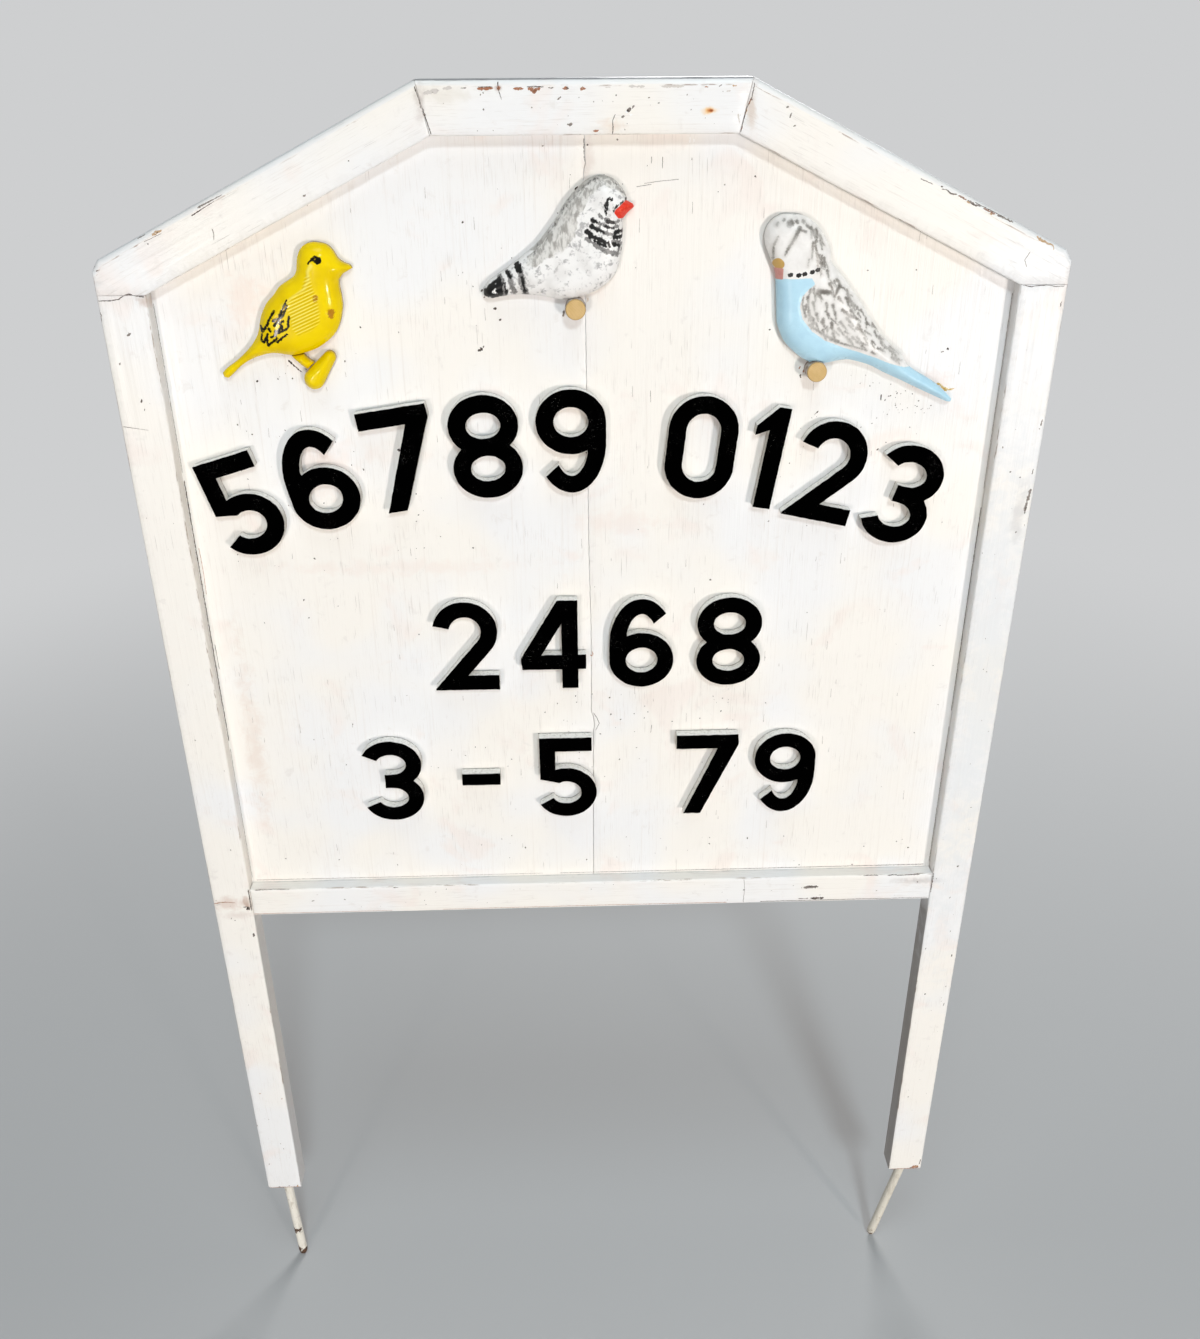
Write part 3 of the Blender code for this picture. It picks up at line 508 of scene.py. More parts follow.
def cut_face(loops, easing, step):
    """Points inside an outline for one face: the outline itself, rows beside it, and a grid. Then triangles.

    Every other row is set back by half a step, so that an arris gets even triangles and shades evenly.
    """
    starts, ends = segments_of(loops)
    rows = []
    for start, end, radius in zip(starts, ends, easing):
        length = np.linalg.norm(end - start)
        count = max(1, int(length / step))
        inward = np.array((start[1] - end[1], end[0] - start[0])) / length
        for i, share in enumerate(WIDE_PROFILE if radius > WIDE else PROFILE):
            shares = (np.arange(count) + (0.5, 1.0)[i % 2]) / count
            rows.append(start + shares[:, None] * (end - start) + inward * share * radius)
    low, high = starts.min(0), starts.max(0)
    x, z = np.meshgrid(np.arange(low[0], high[0], step), np.arange(low[1], high[1], step * GRID_ROW))
    x[1::2] += step / 2
    grid = np.column_stack((x.ravel(), z.ravel()))
    grid = grid[edge_gap(grid, starts, ends) > step * 0.45 + max(easing)]
    inner = np.concatenate((*rows, grid))
    inner = inner[is_inside(inner, loops)]
    inner = inner[edge_gap(inner, starts, ends) > 0.11 * min(easing)]
    points = np.concatenate((starts, inner))
    counts = np.cumsum([0] + [len(line) for line in loops])
    faces = [list(range(a, b)) for a, b in zip(counts, counts[1:])]
    found = delaunay_2d_cdt([Vector(p) for p in points.tolist()], [], faces, 2, 1e-7)
    return np.array([tuple(point) for point in found[0]]), found[2]


def eased_depth(points, starts, ends, easing):
    """How far the eased arris has dropped at each point, and how far off the nearest side that shows is."""
    showing = easing > 1.2 * easing.min()
    if not showing.any():
        showing[:] = True

    def work(part):
        gaps = segment_gaps(part, starts, ends)
        inside = np.clip(1 - gaps / easing, 0, 1)
        return np.column_stack(((easing * (1 - np.sqrt(1 - inside ** 2))).max(1), gaps[:, showing].min(1)))
    return in_parts(work, points).T


def shade(mesh, sharp=30):
    """Smooth shading, apart from edges sharper than the given angle."""
    mesh.shade_smooth()
    mesh.set_sharp_from_angle(angle=math.radians(sharp))


def places_of(piece):
    places = np.empty(len(piece.data.vertices) * 3)
    piece.data.vertices.foreach_get("co", places)
    return places.reshape(-1, 3)


def store(piece, name, values):
    """Keeps one number, or one vector, for each point of a mesh, for its material to read."""
    values = np.asarray(values, np.float32)
    kind, field = ("FLOAT_VECTOR", "vector") if values.ndim == 2 else ("FLOAT", "value")
    attribute = piece.data.attributes.get(name) or piece.data.attributes.new(name, kind, "POINT")
    attribute.data.foreach_set(field, values.ravel())


def store_grain(piece, origin, heading, front):
    along = np.array(heading) / np.linalg.norm(heading)
    across = np.array((along[1], -along[0]))
    places = places_of(piece)
    flat = places[:, (0, 2)] - origin
    store(piece, "grain", np.column_stack((flat @ along, flat @ across, places[:, 1] - front)))


def board_piece(name, loops, front, back, easing, back_easing, finish, step=0.006, heading=(0, 1),
                relief=None):
    """A piece cut from board. Easing is one radius, or one for each side of the outline."""
    starts, ends = segments_of(loops)
    vertices, faces, rim, shared = [], [], [], []
    for side, (level, toward, radius) in enumerate(((front, 1, easing), (back, -1, back_easing))):
        radii = np.broadcast_to(np.asarray(radius, float), len(starts))
        points, triangles = cut_face(loops, radii, step)
        drop, gap = eased_depth(points, starts, ends, radii)
        if relief is not None and side == 0:
            drop = drop + relief(points)
        base = len(vertices)
        shared.append(base)
        vertices += [(x, level + toward * d, z) for (x, z), d in zip(points, drop)]
        faces += [[base + i for i in (face[::-1] if side else face)] for face in triangles]
        rim.append(-gap * 1000 - (back - front) * 1000 if side else gap * 1000)
    first = 0
    for line in loops:
        for i in range(len(line)):
            a, b = first + i, first + (i + 1) % len(line)
            faces.append((shared[0] + a, shared[1] + a, shared[1] + b, shared[0] + b))
        first += len(line)
    piece = add_object(name, bpy.data.meshes.new(name))
    piece.data.from_pydata(vertices, [], faces)
    piece.data.materials.append(finish)
    with editing(piece.data) as shape:
        bmesh.ops.recalc_face_normals(shape, faces=shape.faces)
    shade(piece.data)
    store_grain(piece, starts[0], heading, front)
    store(piece, "rim", np.concatenate(rim))
    return piece


def dress(piece, slot, *replaced):
    """Lets the piece ride on the sign's one body, in the place of CAD nodes if any. Its slot is not used."""
    if replaced:
        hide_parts(*replaced)
    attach(piece, "root")
    print(piece.name, len(piece.data.polygons), "faces")


# %% [markdown]
# ## Frame timbers
# Six timbers make the frame: a top rail mitred to two sloped rails, which are butted on the stiles, and a
# bottom rail between them. The stiles run on down as the legs. The outer front arris of the upper rails is
# rounded by about 5 mm, and the others are only just eased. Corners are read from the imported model, and
# each side of an outline is told how much its arris is eased. The rebate that takes the panel is then cut
# out of the back, as a router would, with a Boolean in the panel's own outline. Its new points have no
# stored distances, so these are worked out again from where each point lies.

# %% The rebate's cutter
REBATE_GAP, REBATE_DEPTH, LONGEST_CURVED = 0.0003, 0.03, 0.006


def rebate_cutter():
    """A block with the panel's outline, a hair larger, from just before the panel out through the back."""
    corners = np.concatenate([outlines_of(f"panel_board_{side}")[0] for side in ("left", "right")])
    corners = corners[convex_hull_2d([Vector(corner) for corner in corners])]
    before, after = corners - np.roll(corners, 1, axis=0), np.roll(corners, -1, axis=0) - corners
    corners = corners[np.abs(before[:, 0] * after[:, 1] - before[:, 1] * after[:, 0]) > 1e-6]
    if area_of(corners) < 0:
        corners = corners[::-1]
    sides = np.roll(corners, -1, axis=0) - corners
    outward = np.column_stack((sides[:, 1], -sides[:, 0])) / np.linalg.norm(sides, axis=1)[:, None]
    before = np.roll(outward, 1, axis=0)
    corners = corners + REBATE_GAP * (outward + before) / (1 + (outward * before).sum(1))[:, None]
    block = add_object("rebate_cutter", bpy.data.meshes.new("rebate_cutter"))
    with editing(block.data) as shape:
        front = [shape.verts.new((x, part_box("panel_board_left")[0].y - REBATE_GAP, z)) for x, z in corners]
        made = bmesh.ops.extrude_face_region(shape, geom=[shape.faces.new(front)])["geom"]
        deeper = [part for part in made if isinstance(part, bmesh.types.BMVert)]
        bmesh.ops.translate(shape, verts=deeper, vec=(0, REBATE_DEPTH, 0))
        bmesh.ops.recalc_face_normals(shape, faces=shape.faces)
    return block


cutter = rebate_cutter()
print("rebate", len(cutter.data.polygons), "faces")

# %% Frame timbers
TIMBER_FRONT, TIMBER_BACK = (corner.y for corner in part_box("stile_left"))
SOFT, PLAIN, WORN, CLOSE, BEHIND = 0.0055, 0.0016, 0.0024, 0.0004, 0.0014
NO_CROWN = 99.0


def densified(corners, easing, step=0.006):
    """Splits long sides into short ones, with extra points where a wide arris ends at a corner."""
    points, radii = [], []
    for i, (start, end) in enumerate(zip(np.array(corners), np.roll(corners, -1, axis=0))):
        length = np.linalg.norm(end - start)
        marks = {0.0}
        for radius, side in ((easing[i - 1], 0), (easing[(i + 1) % len(easing)], 1)):
            if radius > 2 * easing[i]:
                marks |= {abs(side * length - share * radius) for share in WIDE_PROFILE}
        plain = np.arange(1, max(2, int(length / step))) * length / max(2, int(length / step))
        marks |= {m for m in plain if min((abs(m - k) for k in marks), default=1) > step * 0.3}
        points += [start + (end - start) * mark / length for mark in sorted(marks)]
        radii += [easing[i]] * len(marks)
    return np.array(points), np.array(radii)


def cut_away(piece):
    """Takes the cutter's shape out of the piece, for good. The long flat sides are then shaded as flat."""
    boolean = piece.modifiers.new("cut", "BOOLEAN")
    boolean.object, boolean.operation, boolean.solver = cutter, "DIFFERENCE", "EXACT"
    graph = bpy.context.evaluated_depsgraph_get()
    cut = bpy.data.meshes.new_from_object(piece.evaluated_get(graph), depsgraph=graph)
    piece.modifiers.remove(boolean)
    piece.data = cut
    shade(cut)
    for face in cut.polygons:
        depths = [cut.vertices[i].co.y for i in face.vertices]
        face.use_smooth = max(depths) - min(depths) < LONGEST_CURVED


def timber(node, corners, easing, heading):
    line, radii = densified(corners, easing)
    starts, ends = segments_of([line])
    piece = board_piece(f"painted_{node}", [line], TIMBER_FRONT, TIMBER_BACK, radii,
                        np.minimum(radii, BEHIND), frame_white, heading=heading)
    cut_away(piece)
    store_grain(piece, starts[0], heading, TIMBER_FRONT)
    places = places_of(piece)
    flat, depth = places[:, (0, 2)], places[:, 1] - TIMBER_FRONT
    drop, gap = eased_depth(flat, starts, ends, radii)
    store(piece, "rim", 1000 * np.where(depth < drop + 0.00002, gap, -depth - gap))
    soft = radii > 2 * PLAIN
    store(piece, "crown", 1000 * edge_gap(flat, starts[soft], ends[soft]) if soft.any()
          else np.full(len(flat), NO_CROWN))
    dress(piece, "frame_paint", node)


top = [far_corner("top_rail", *way) for way in ((-1, -9), (1, -9), (9, 1), (-9, 1))]
timber("top_rail", top, (PLAIN, CLOSE, SOFT, CLOSE), (1, 0))
timber("bottom_rail", box_corners("bottom_rail"), (PLAIN, CLOSE, PLAIN, CLOSE), (1, 0))
for side, sign in (("left", -1), ("right", 1)):
    node = f"stile_{side}"
    easing = (PLAIN, WORN, CLOSE, PLAIN) if sign > 0 else (PLAIN, PLAIN, CLOSE, WORN)
    timber(node, box_corners(node), easing, (0, 1))
    # Round the sloped rail: inner low, outer low, shoulder low and high, and its outer and inner top corners
    node = f"sloped_rail_{side}"
    ways = ((-1, -9), (1.2, -1), (9, 1), (1, 0.7), (-0.3, 9), (-9, -1))
    corners = [far_corner(node, sign * across, upward) for across, upward in ways]
    easing = [CLOSE, WORN, SOFT, SOFT, CLOSE, PLAIN]
    slope = np.subtract(corners[4], corners[3])
    if sign < 0:
        corners, easing = corners[::-1], easing[-2::-1] + easing[-1:]
    timber(node, corners, easing, slope)
bpy.data.objects.remove(cutter)

# %% [markdown]
# ## Panel boards
# The panel is two boards side by side in the frame's rebate. The line between them has opened a little and
# wanders by a millimetre, with a short split beside it below the second row of numbers. Both boards get
# the same wandering edge, half a gap apart, so they could really be pushed together again. A dark line
# painted on one sheet would look alike from the front, but it wouldn't be the joint.

# %% Panel boards
JOINT_GAP, JOINT_STEP, BROAD_STEP = 0.0005, 0.0025, 0.012
# Heights in metres, and how far the joint is off the middle there in millimetres
JOINT_LINE = (
    (0.49, 0.4), (0.7, 2), (0.713, 3.6), (0.721, 2.4), (0.728, 0.2), (0.79, 0.8), (0.84, 0.7), (0.873, 0.1),
    (0.909, -0.5), (1.05, -1), (1.274, -1.6), (1.287, -1.1), (1.291, 0), (1.35, -0.7),
)


def wander(heights):
    """Where the joint lies across the panel at these heights, in metres."""
    levels, offsets = np.array(JOINT_LINE).T
    ripple = 0.16 * np.sin(heights * 410) + 0.10 * np.sin(heights * 1130 + 1)
    return (np.interp(heights, levels, offsets) + ripple) * 0.001


for side, sign in (("left", -1), ("right", 1)):
    node = f"panel_board_{side}"
    low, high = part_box(node)
    outline = outlines_of(node)[0]
    # The paint's pattern is measured from where the outline starts, so each board starts at its shoulder
    outline = np.roll(outline, -np.argmax(outline @ (sign, 1)), axis=0)
    points = []
    for start, end in zip(outline, np.roll(outline, -1, axis=0)):
        at_joint = abs(start[0]) < 0.001 and abs(end[0]) < 0.001
        count = max(1, int(np.linalg.norm(end - start) / JOINT_STEP)) if at_joint else 1
        points += [start + (end - start) * i / count for i in range(count)]
    line = np.array(points)
    middle = np.abs(line[:, 0]) < 0.001
    line[middle, 0] = wander(line[middle, 1]) + sign * JOINT_GAP / 2
    board = board_piece(f"painted_{node}", [line], low.y, high.y, CLOSE, CLOSE, panel_white, BROAD_STEP)
    dress(board, "panel_paint", node)

# %% [markdown]
# ## Battens across the back
# Two battens are screwed across the back from stile to stile and hold the boards level with each other.
# They are plain strips with eased arrises and a hole for each screw.

# %% Battens
SCREW_CLEARANCE, HOLE_SIDES = 0.0003, 24
BATTEN_EASING = 0.0012, 0.0006


def circle(x, z, radius, count, turn=1):
    turns = np.linspace(0, turn * 2 * math.pi, count, endpoint=False)
    return np.column_stack((x + radius * np.cos(turns), z + radius * np.sin(turns)))


def round_place(node):
    """Centre and radius of a round piece in X and Z, in metres."""
    low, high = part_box(node)
    return (low.x + high.x) / 2, (low.z + high.z) / 2, (high.z - low.z) / 2


screws = sorted(name for name in nodes if "_screw_" in name)
for level_name in ("upper", "lower"):
    node = f"batten_{level_name}"
    low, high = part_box(node)
    loops = [np.array(box_corners(node))]
    for x, z, radius in (round_place(screw) for screw in screws if screw.startswith(level_name)):
        loops.append(circle(x, z, radius + SCREW_CLEARANCE, HOLE_SIDES, -1))
    batten = board_piece(f"painted_{node}", loops, low.y, high.y, *BATTEN_EASING, batten_white, BROAD_STEP,
                         heading=(1, 0))
    dress(batten, "batten_paint", node)

# %% [markdown]
# ## Raised numbers
# The numbers were fretsawn from thin board, painted white with the sign, and their faces then blacked by
# hand. The saw left the edges slightly ragged and the black stops just short of the arris. The outlines
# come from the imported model, are smoothed where they curve, and are made ragged by a fixed random walk.

# %% Smooth and ragged outlines
REAL_CORNER = math.radians(38)


def smoothed(line, step):
    """Rounds a faceted outline off, but keeps its real corners and its straight sides."""
    sides = np.roll(line, -1, axis=0) - line
    lengths = np.linalg.norm(sides, axis=1)
    headings = sides / lengths[:, None]
    before, before_length = np.roll(headings, 1, axis=0), np.roll(lengths, 1)
    turn = np.arccos(np.clip((before * headings).sum(1), -1, 1))
    tangents = before + headings
    tangents = np.where((lengths > 2.5 * before_length)[:, None], headings, tangents)
    tangents = np.where((before_length > 2.5 * lengths)[:, None], before, tangents)
    tangents /= np.linalg.norm(tangents, axis=1)[:, None]
    points = []
    for i in range(len(line)):
        j = (i + 1) % len(line)
        leave, arrive = (headings[i] if turn[k] > REAL_CORNER else tangents[k] for k in (i, j))
        count = max(1, round(lengths[i] / step))
        t = (np.arange(count) / count)[:, None]
        points.append((2 * t ** 3 - 3 * t ** 2 + 1) * line[i] + (3 * t ** 2 - 2 * t ** 3) * line[j]
                      + ((t ** 3 - 2 * t ** 2 + t) * leave + (t ** 3 - t ** 2) * arrive) * lengths[i])
    return np.concatenate(points)


def roughened(line, amount, seed, spread=3):
    """Moves the points of an outline in and out at random, the same way on each run."""
    sides = np.roll(line, -1, axis=0) - np.roll(line, 1, axis=0)
    outward = np.column_stack((sides[:, 1], -sides[:, 0])) / np.linalg.norm(sides, axis=1)[:, None]
    walk = np.random.default_rng(seed).normal(size=len(line))
    walk = np.concatenate((walk[-spread:], walk, walk[:spread]))
    walk = np.convolve(walk, np.ones(spread) / spread, "same")
    return line + outward * (walk[spread:-spread] * amount)[:, None]


# %% Black enamel on the number faces
paint = Finish("black_enamel_on_numbers", Specular_IOR_Level=0.0)
rim, streak = paint.attribute("rim"), paint.noise(1, 4, 0.7, grain=(120, 1100, 1100))
ragged = paint.noise(900, 4, 0.7) * 0.8 + paint.noise(160, 2) * 0.6
missed = paint.noise(1500, 2).ramp(0.70, 0.74) * paint.noise(55, 2).ramp(0.52, 0.62) * 0.9
black = (rim - ragged).ramp(-0.72, -0.58) * (1.0 - missed)
dirt = paint.noise(1, 4, 0.7, stretch=(420, 420, 150))
foot_dirt_and_shade = (rim + dirt.ramp(0.3, 0.7, -0.8, 0.8)).ramp(-11.9, -10.9, 0.85, 0.0)
# The sides are grey where they don't face up, as painted shade on the white. The dark line at their foot,
# where they meet the panel, is dirt and painted shade.
colour = paint.layers(
    (205, 203, 197), (paint.faces("Z").ramp(0.1, 0.6), (246, 244, 239)),
    (dirt.ramp(0.48, 0.68, 0.0, 0.55), (170, 165, 156)), (foot_dirt_and_shade, (104, 92, 82)),
    (rim.ramp(-0.9, -0.1, 0.0, 0.5), (150, 148, 144)),
    (black, paint.layers((1, 1, 1), (streak.ramp(0.62, 0.80, 0.0, 0.35), (15, 14, 13)))))
number_black = paint.finish(colour, streak.ramp(0.3, 0.8, 0.42, 0.6), streak + black * 0.6, 0.0003, 0.5)

# %% Numbers
SAWN_EDGE, SAWN_STEP = 0.00016, 0.0016
FINE_EASING = 0.0005, 0.0003
numbers = sorted(name for name in nodes if "_number_" in name or name.endswith("_dash"))
for seed, node in enumerate(numbers):
    low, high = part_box(node)
    loops = [roughened(smoothed(line, SAWN_STEP), SAWN_EDGE, seed * 7 + i)
             for i, line in enumerate(outlines_of(node))]
    number = board_piece(f"blacked_{node}", loops, low.y, high.y, *FINE_EASING, number_black)
    dress(number, "number_enamel", node)
print(len(numbers), "numbers")

# %% [markdown]
# ## Carved birds
# Three small birds were whittled from softwood: a canary, a zebra finch and a budgerigar, flat behind and
# rounded in front. Each is cut by the same board cutter on a finer grid, and a relief pushes its face into
# a dome: full height inside, falling to a low edge. The faces are smoothed, and fine grooves and ridges
# are added along given lines. Sculpting by hand would do the same, but it couldn't be made again by a
# script. Lines and zones are rows of numbers in millimetres round the bird's middle: X and Z in turn. A
# stroke's row ends with the brush's width at both ends, and a ridge's row with its width and its height.

# %% Brush strokes and zones
def stroke_gap(points, strokes):
    """How far each point is outside the nearest stroke, in mm."""
    gap = np.full(len(points), 9.0)
    for *line, first_width, last_width in strokes:
        line = np.reshape(line, (-1, 2))
        spans = max(1, len(line) - 1)
        for i in range(spans):
            start, end = line[i], line[min(i + 1, len(line) - 1)]
            side = end - start
            along = np.clip(((points - start) @ side) / max(side @ side, 1e-9), 0, 1)
            width = first_width + (last_width - first_width) * (i + along) / spans
            gap = np.minimum(gap, np.linalg.norm(points - start - along[:, None] * side, axis=1) - width / 2)
    return gap


def zone_gap(points, corners):
    """How far each point is outside a painted zone, in mm, and below zero within it."""
    corners = np.reshape(corners, (-1, 2)).astype(float)
    gap = edge_gap(points, *segments_of([corners]))
    return np.where(is_inside(points, [corners]), -gap, gap)


# %% The bird carver
# How low the edge of the face is, how far the dome rises from it and over what width, in metres
CARVING_LOW, CARVING_DOME, CARVING_ROUND, GLUED_FACE = 0.005, 0.013, 0.018, 0.0002
CARVED_EDGE, CARVED_STEP, CARVED_SEED, PERCH_CLEARANCE = 0.00005, 0.0014, 3, 0.0012
# Edges up to this many degrees are shaded smooth on rounded pieces
ROUND_SHADE = 50


def carve(node, centre, finish, slot, strokes, zones, ridges=(), perch=None, step=0.0010, softness=14,
          **more):
    """A carved and painted piece. Its paints are stored as gaps to strokes and zones, by name."""
    low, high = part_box(node)
    loops = [roughened(smoothed(outlines_of(node)[0], CARVED_STEP), CARVED_EDGE, CARVED_SEED)]
    starts, ends = segments_of(loops)
    if perch:
        x, z, radius = round_place(perch)
        clear = np.linalg.norm((starts + ends) / 2 - np.array((x, z)), axis=1) > radius + PERCH_CLEARANCE
        starts, ends = starts[clear], ends[clear]

    def relief(points):
        rise = 1 - np.clip(edge_gap(points, starts, ends) / CARVING_ROUND, 0, 1)
        return CARVING_DOME * (1 - np.sqrt(1 - rise ** 2))

    top, level = high.y - CARVING_LOW - CARVING_DOME, high.y - GLUED_FACE
    piece = board_piece(f"carved_{node}", loops, top, high.y, *FINE_EASING, finish, step, relief=relief)
    with editing(piece.data) as shape:
        face = [vert for vert in shape.verts if vert.co.y < level and len(vert.link_edges) > 2
                and all(linked.co.y < level for edge in vert.link_edges for linked in edge.verts)]
        for _ in range(softness):
            bmesh.ops.smooth_vert(shape, verts=face, factor=0.5,
                                  use_axis_x=False, use_axis_y=True, use_axis_z=False)
    places = places_of(piece)
    local = places[:, (0, 2)] * 1000 - np.array(centre)
    front = places[:, 1] < level
    for *line, width, rise in ridges:
        share = np.clip(1 - stroke_gap(local, [(*line, 0, 0)]) / width, 0, 1)
        places[:, 1] -= front * rise * 0.001 * share ** 2 * (3 - 2 * share)
    places[:, 1] = np.maximum(places[:, 1], low.y)
    piece.data.vertices.foreach_set("co", places.ravel())
    shade(piece.data, ROUND_SHADE)
    gaps = {**{name: stroke_gap(local, rows) for name, rows in strokes.items()},
            **{name: zone_gap(local, corners) for name, corners in zones.items()},
            **{name: work(local) for name, work in more.items()}}
    for name, gap in gaps.items():
        store(piece, name, gap)
    dress(piece, slot, node)


# %% [markdown]
# ## The canary
# It is glossy yellow all over. Its wing is a bunch of quick black strokes, its breast shows fine ridges
# left by the gouge, and two pins hold it to the panel. Every vertex stores how far it is from the nearest
# stroke, and the material turns that into paint with a slightly broken edge.

# %% Canary paint
CANARY_MIDDLE = (-282, 1166)
CANARY_INK = (
    (37.4, 47, 36.6, 47.6, 6.4, 5.4), (35.8, 49.4, 31.7, 47.4, 28.5, 44.1, 2.6, 0.7),
    (-7.5, 2.6, -11.3, -2.6, -14.5, -7.1, 1.7, 1.5), (-14.3, -8.2, -18.5, -13.5, -21.5, -15.8, 1.6, 2.6),
    (-21.5, -15.8, -23, -11.9, 2.4, 1.5), (5.6, 12.6, 0.7, 4.3, -2.6, -0.9, 0.8, 1.8),
    (-2.6, -0.9, 0.3, -2, 5.3, 7.6, 2.2, 1), (-3.4, -3.9, -9.4, -6, 1.3, 1.8),
    (-8.9, -10.6, -4.5, -6.1, -1.4, -2.4, 1.6, 1.3), (6, -2.5, 4.3, -7.7, 4.4, -11, 1.4, 1.8),
    (0.5, -6.2, -3.6, -8.4, -1.7, -11.4, 1.5, 1.8), (-1.7, -11.4, -6.5, -15.9, 1.8, 2.2),
    (4.2, -11.6, 1.5, -13.7, -6, -17.2, 1.2, 1.8), (2.1, -18.3, -3.4, -22, -7.7, -25.4, 1.2, 1.8),
    (-7.7, -25.4, -8.6, -23.1, 1.6, 0.9), (-22, -19.5, -23, -24.1, -20.5, -25.8, -16, -18.1, 1.6, 1.7),
    (-17.2, -21.1, -17, -28.9, -11.5, -24.6, -7.2, -21.6, 2, 1), (-14.2, -13.5, -12.7, -16.2, 2.2, 1.2),
    (-13.3, -21.1, -8.4, -18.9, -8.7, -15.1, 1.3, 1.8),
)
# A painted highlight: a pale line along the breast ridge, from below the eye
CANARY_HIGHLIGHT_LINE = (31, 42.6, 27.5, 37, 27.5, 30, 22.6, 21.9, 9.5, 13.9, 0.3, 7.3, 3.4, 1.2)
CANARY_RUST = ((31.9, 14.4, 31.6, 11.8, 3.6, 2.6), (44.6, 0.6, 44.2, -2.6, 5.4, 3.6))
GOUGED = (
    3, 8, 10, 14.5, 20, 20.5, 25, 34, 29.5, 36, 31, 21, 33.5, 12, 34.5, 2, 33, -8, 24, -15.5, 12, -19, 6.5,
    -15, 6, -4,
)
GOUGE_STEP, GOUGE_SLOPE = 2.75, math.radians(23)
CANARY_RIDGES = (
    (31.9, 13.4, 31.9, 13.2, 2.6, -0.9), (42.6, 1.4, 42.6, 1.2, 3, -1.1),
    (28, 38, 27, 30, 22.6, 21.9, 9.5, 13.9, -2, 5, -16, -12, 3.2, 0.5),
    (47.5, 44, 46.5, 36, 48, 30, 2.5, 0.5),
)

paint = Finish("yellow_enamel", Specular_IOR_Level=0.05, Coat_Weight=0.2, Coat_Roughness=0.06)
wide, fine = paint.noise(38), paint.noise(700)
gouge, gouged, rust, ink, pale, rim = paint.attributes("gouge", "gouged", "rust", "ink", "pale", "rim")
wave = (gouge * (2 * math.pi / GOUGE_STEP)).math("SINE") + wide.ramp(0.3, 0.7, -0.35, 0.35)
gouged = (gouged + wide.ramp(0.3, 0.7, -1.5, 1.5)).ramp(-2.0, 1.0, 1.0, 0.0)
rust = (rust + fine.ramp(0.3, 0.7, -0.6, 0.6)).ramp(-0.2, 1.2, 0.95, 0.0)
ink = (ink + fine.ramp(0.25, 0.75, -0.6, 0.35)).ramp(0.0, 0.45, 1.0, 0.0)
# Gouge crests are painted lighter and grooves darker, as painted highlight and shade. The edge and sides are
# darker: painted shade and dirt.
colour = paint.layers(
    (244, 213, 0), (wide.ramp(0.40, 0.68, 0.0, 0.55), (222, 187, 0)),
    (pale.ramp(-1.6, 1.2, 0.7, 0.0), (255, 242, 120)), (rim.ramp(-4.0, 2.0, 0.75, 0.0), (160, 124, 10)),
    (rust, (178, 118, 22)), (gouged * wave.ramp(0.1, 1.1, 0.0, 0.8), (255, 244, 120)),
    (gouged * wave.ramp(-1.1, -0.1, 0.6, 0.0), (204, 160, 0)),
    (ink * paint.noise(420, 2).ramp(0.58, 0.72, 1.0, 0.6), (9, 7, 2)))
relief = wide + ink + gouged * wave * 1.1
canary_yellow = paint.finish(colour, wide.ramp(0.3, 0.7, 0.20, 0.32), relief, 0.0004, 0.5)

# %% Canary
def across_gouge(points):
    return points[:, 1] * math.cos(GOUGE_SLOPE) - points[:, 0] * math.sin(GOUGE_SLOPE)


for node, ridges, softness in (
        ("canary_body", CANARY_RIDGES, 14), ("canary_leg", (), 6), ("canary_foot", (), 6)):
    carve(node, CANARY_MIDDLE, canary_yellow, "canary_enamel",
          {"ink": CANARY_INK, "pale": [CANARY_HIGHLIGHT_LINE], "rust": CANARY_RUST}, {"gouged": GOUGED}, ridges,
          softness=softness, gouge=across_gouge)

# %% [markdown]
# ## The zebra finch
# White under a grey back and crown, with a red beak, black bars on the tail, and bands on the breast that
# turn from grey to black. The grey was put on thin and streaky, so its edge is soft and its tone uneven.

# %% Finch paint
FINCH_MIDDLE = (-26, 1227)
FINCH_BLACK = (
    (47.9, 37.4, 44, 32.7, 43.2, 27, 44.4, 23, 1, 1.8), (49.2, 35.9, 46.2, 31.7, 45, 27.5, 1, 0.8),
    (62.7, 35.1, 52.2, 28.4, 51, 25.1, 0.8, 1.4), (26.4, 8.7, 30.9, 4.6, 4, 4.2),
    (32, 4, 37, 1.6, 43, -0.6, 3, 3.2), (45.1, -1.6, 47.6, -5, 3, 2), (30.5, 13, 34, 11, 3, 2.6),
    (36.4, 9.6, 42.1, 7.8, 2.2, 2), (32, 18.4, 36.1, 16, 2.2, 1.8), (51.6, 3.2, 57.6, 3.1, 2.6, 2.2),
    (46.2, 16.7, 50.6, 15.4, 2.6, 2), (51, -3, 56.6, -5, 2.6, 1.6), (52.2, 7.2, 57.6, 8.4, 2.8, 2.2),
    (43, 12.6, 50, 10.6, 1.8, 2.2), (33, 0.6, 44, -4.8, 1.6, 2), (-36.9, -21.6, -35.6, -25, 6, 4.6),
    (-33.6, -31, -31.2, -45.4, 2, 2.4), (-55.2, -33.5, -53, -39, -53, -46, 3.6, 3),
    (-49.4, -36, -48.6, -45.6, 1.6, 2.2), (-46.6, -27.4, -44.8, -31, 3.6, 1.8),
    (-68.4, -44.6, -64.6, -42, -60.4, -38.4, 5, 5), (-67.6, -47.2, -61.4, -47.4, 4.4, 4.8),
    (-65, -43.4, -63.4, -46.6, 5, 5), (-64, -47.4, -54.4, -47.6, 4.2, 3.6),
    (-56.6, -35.6, -56, -45, 2.8, 2.8), (-63, -38.4, -57, -34.6, 2.6, 2.2),
)
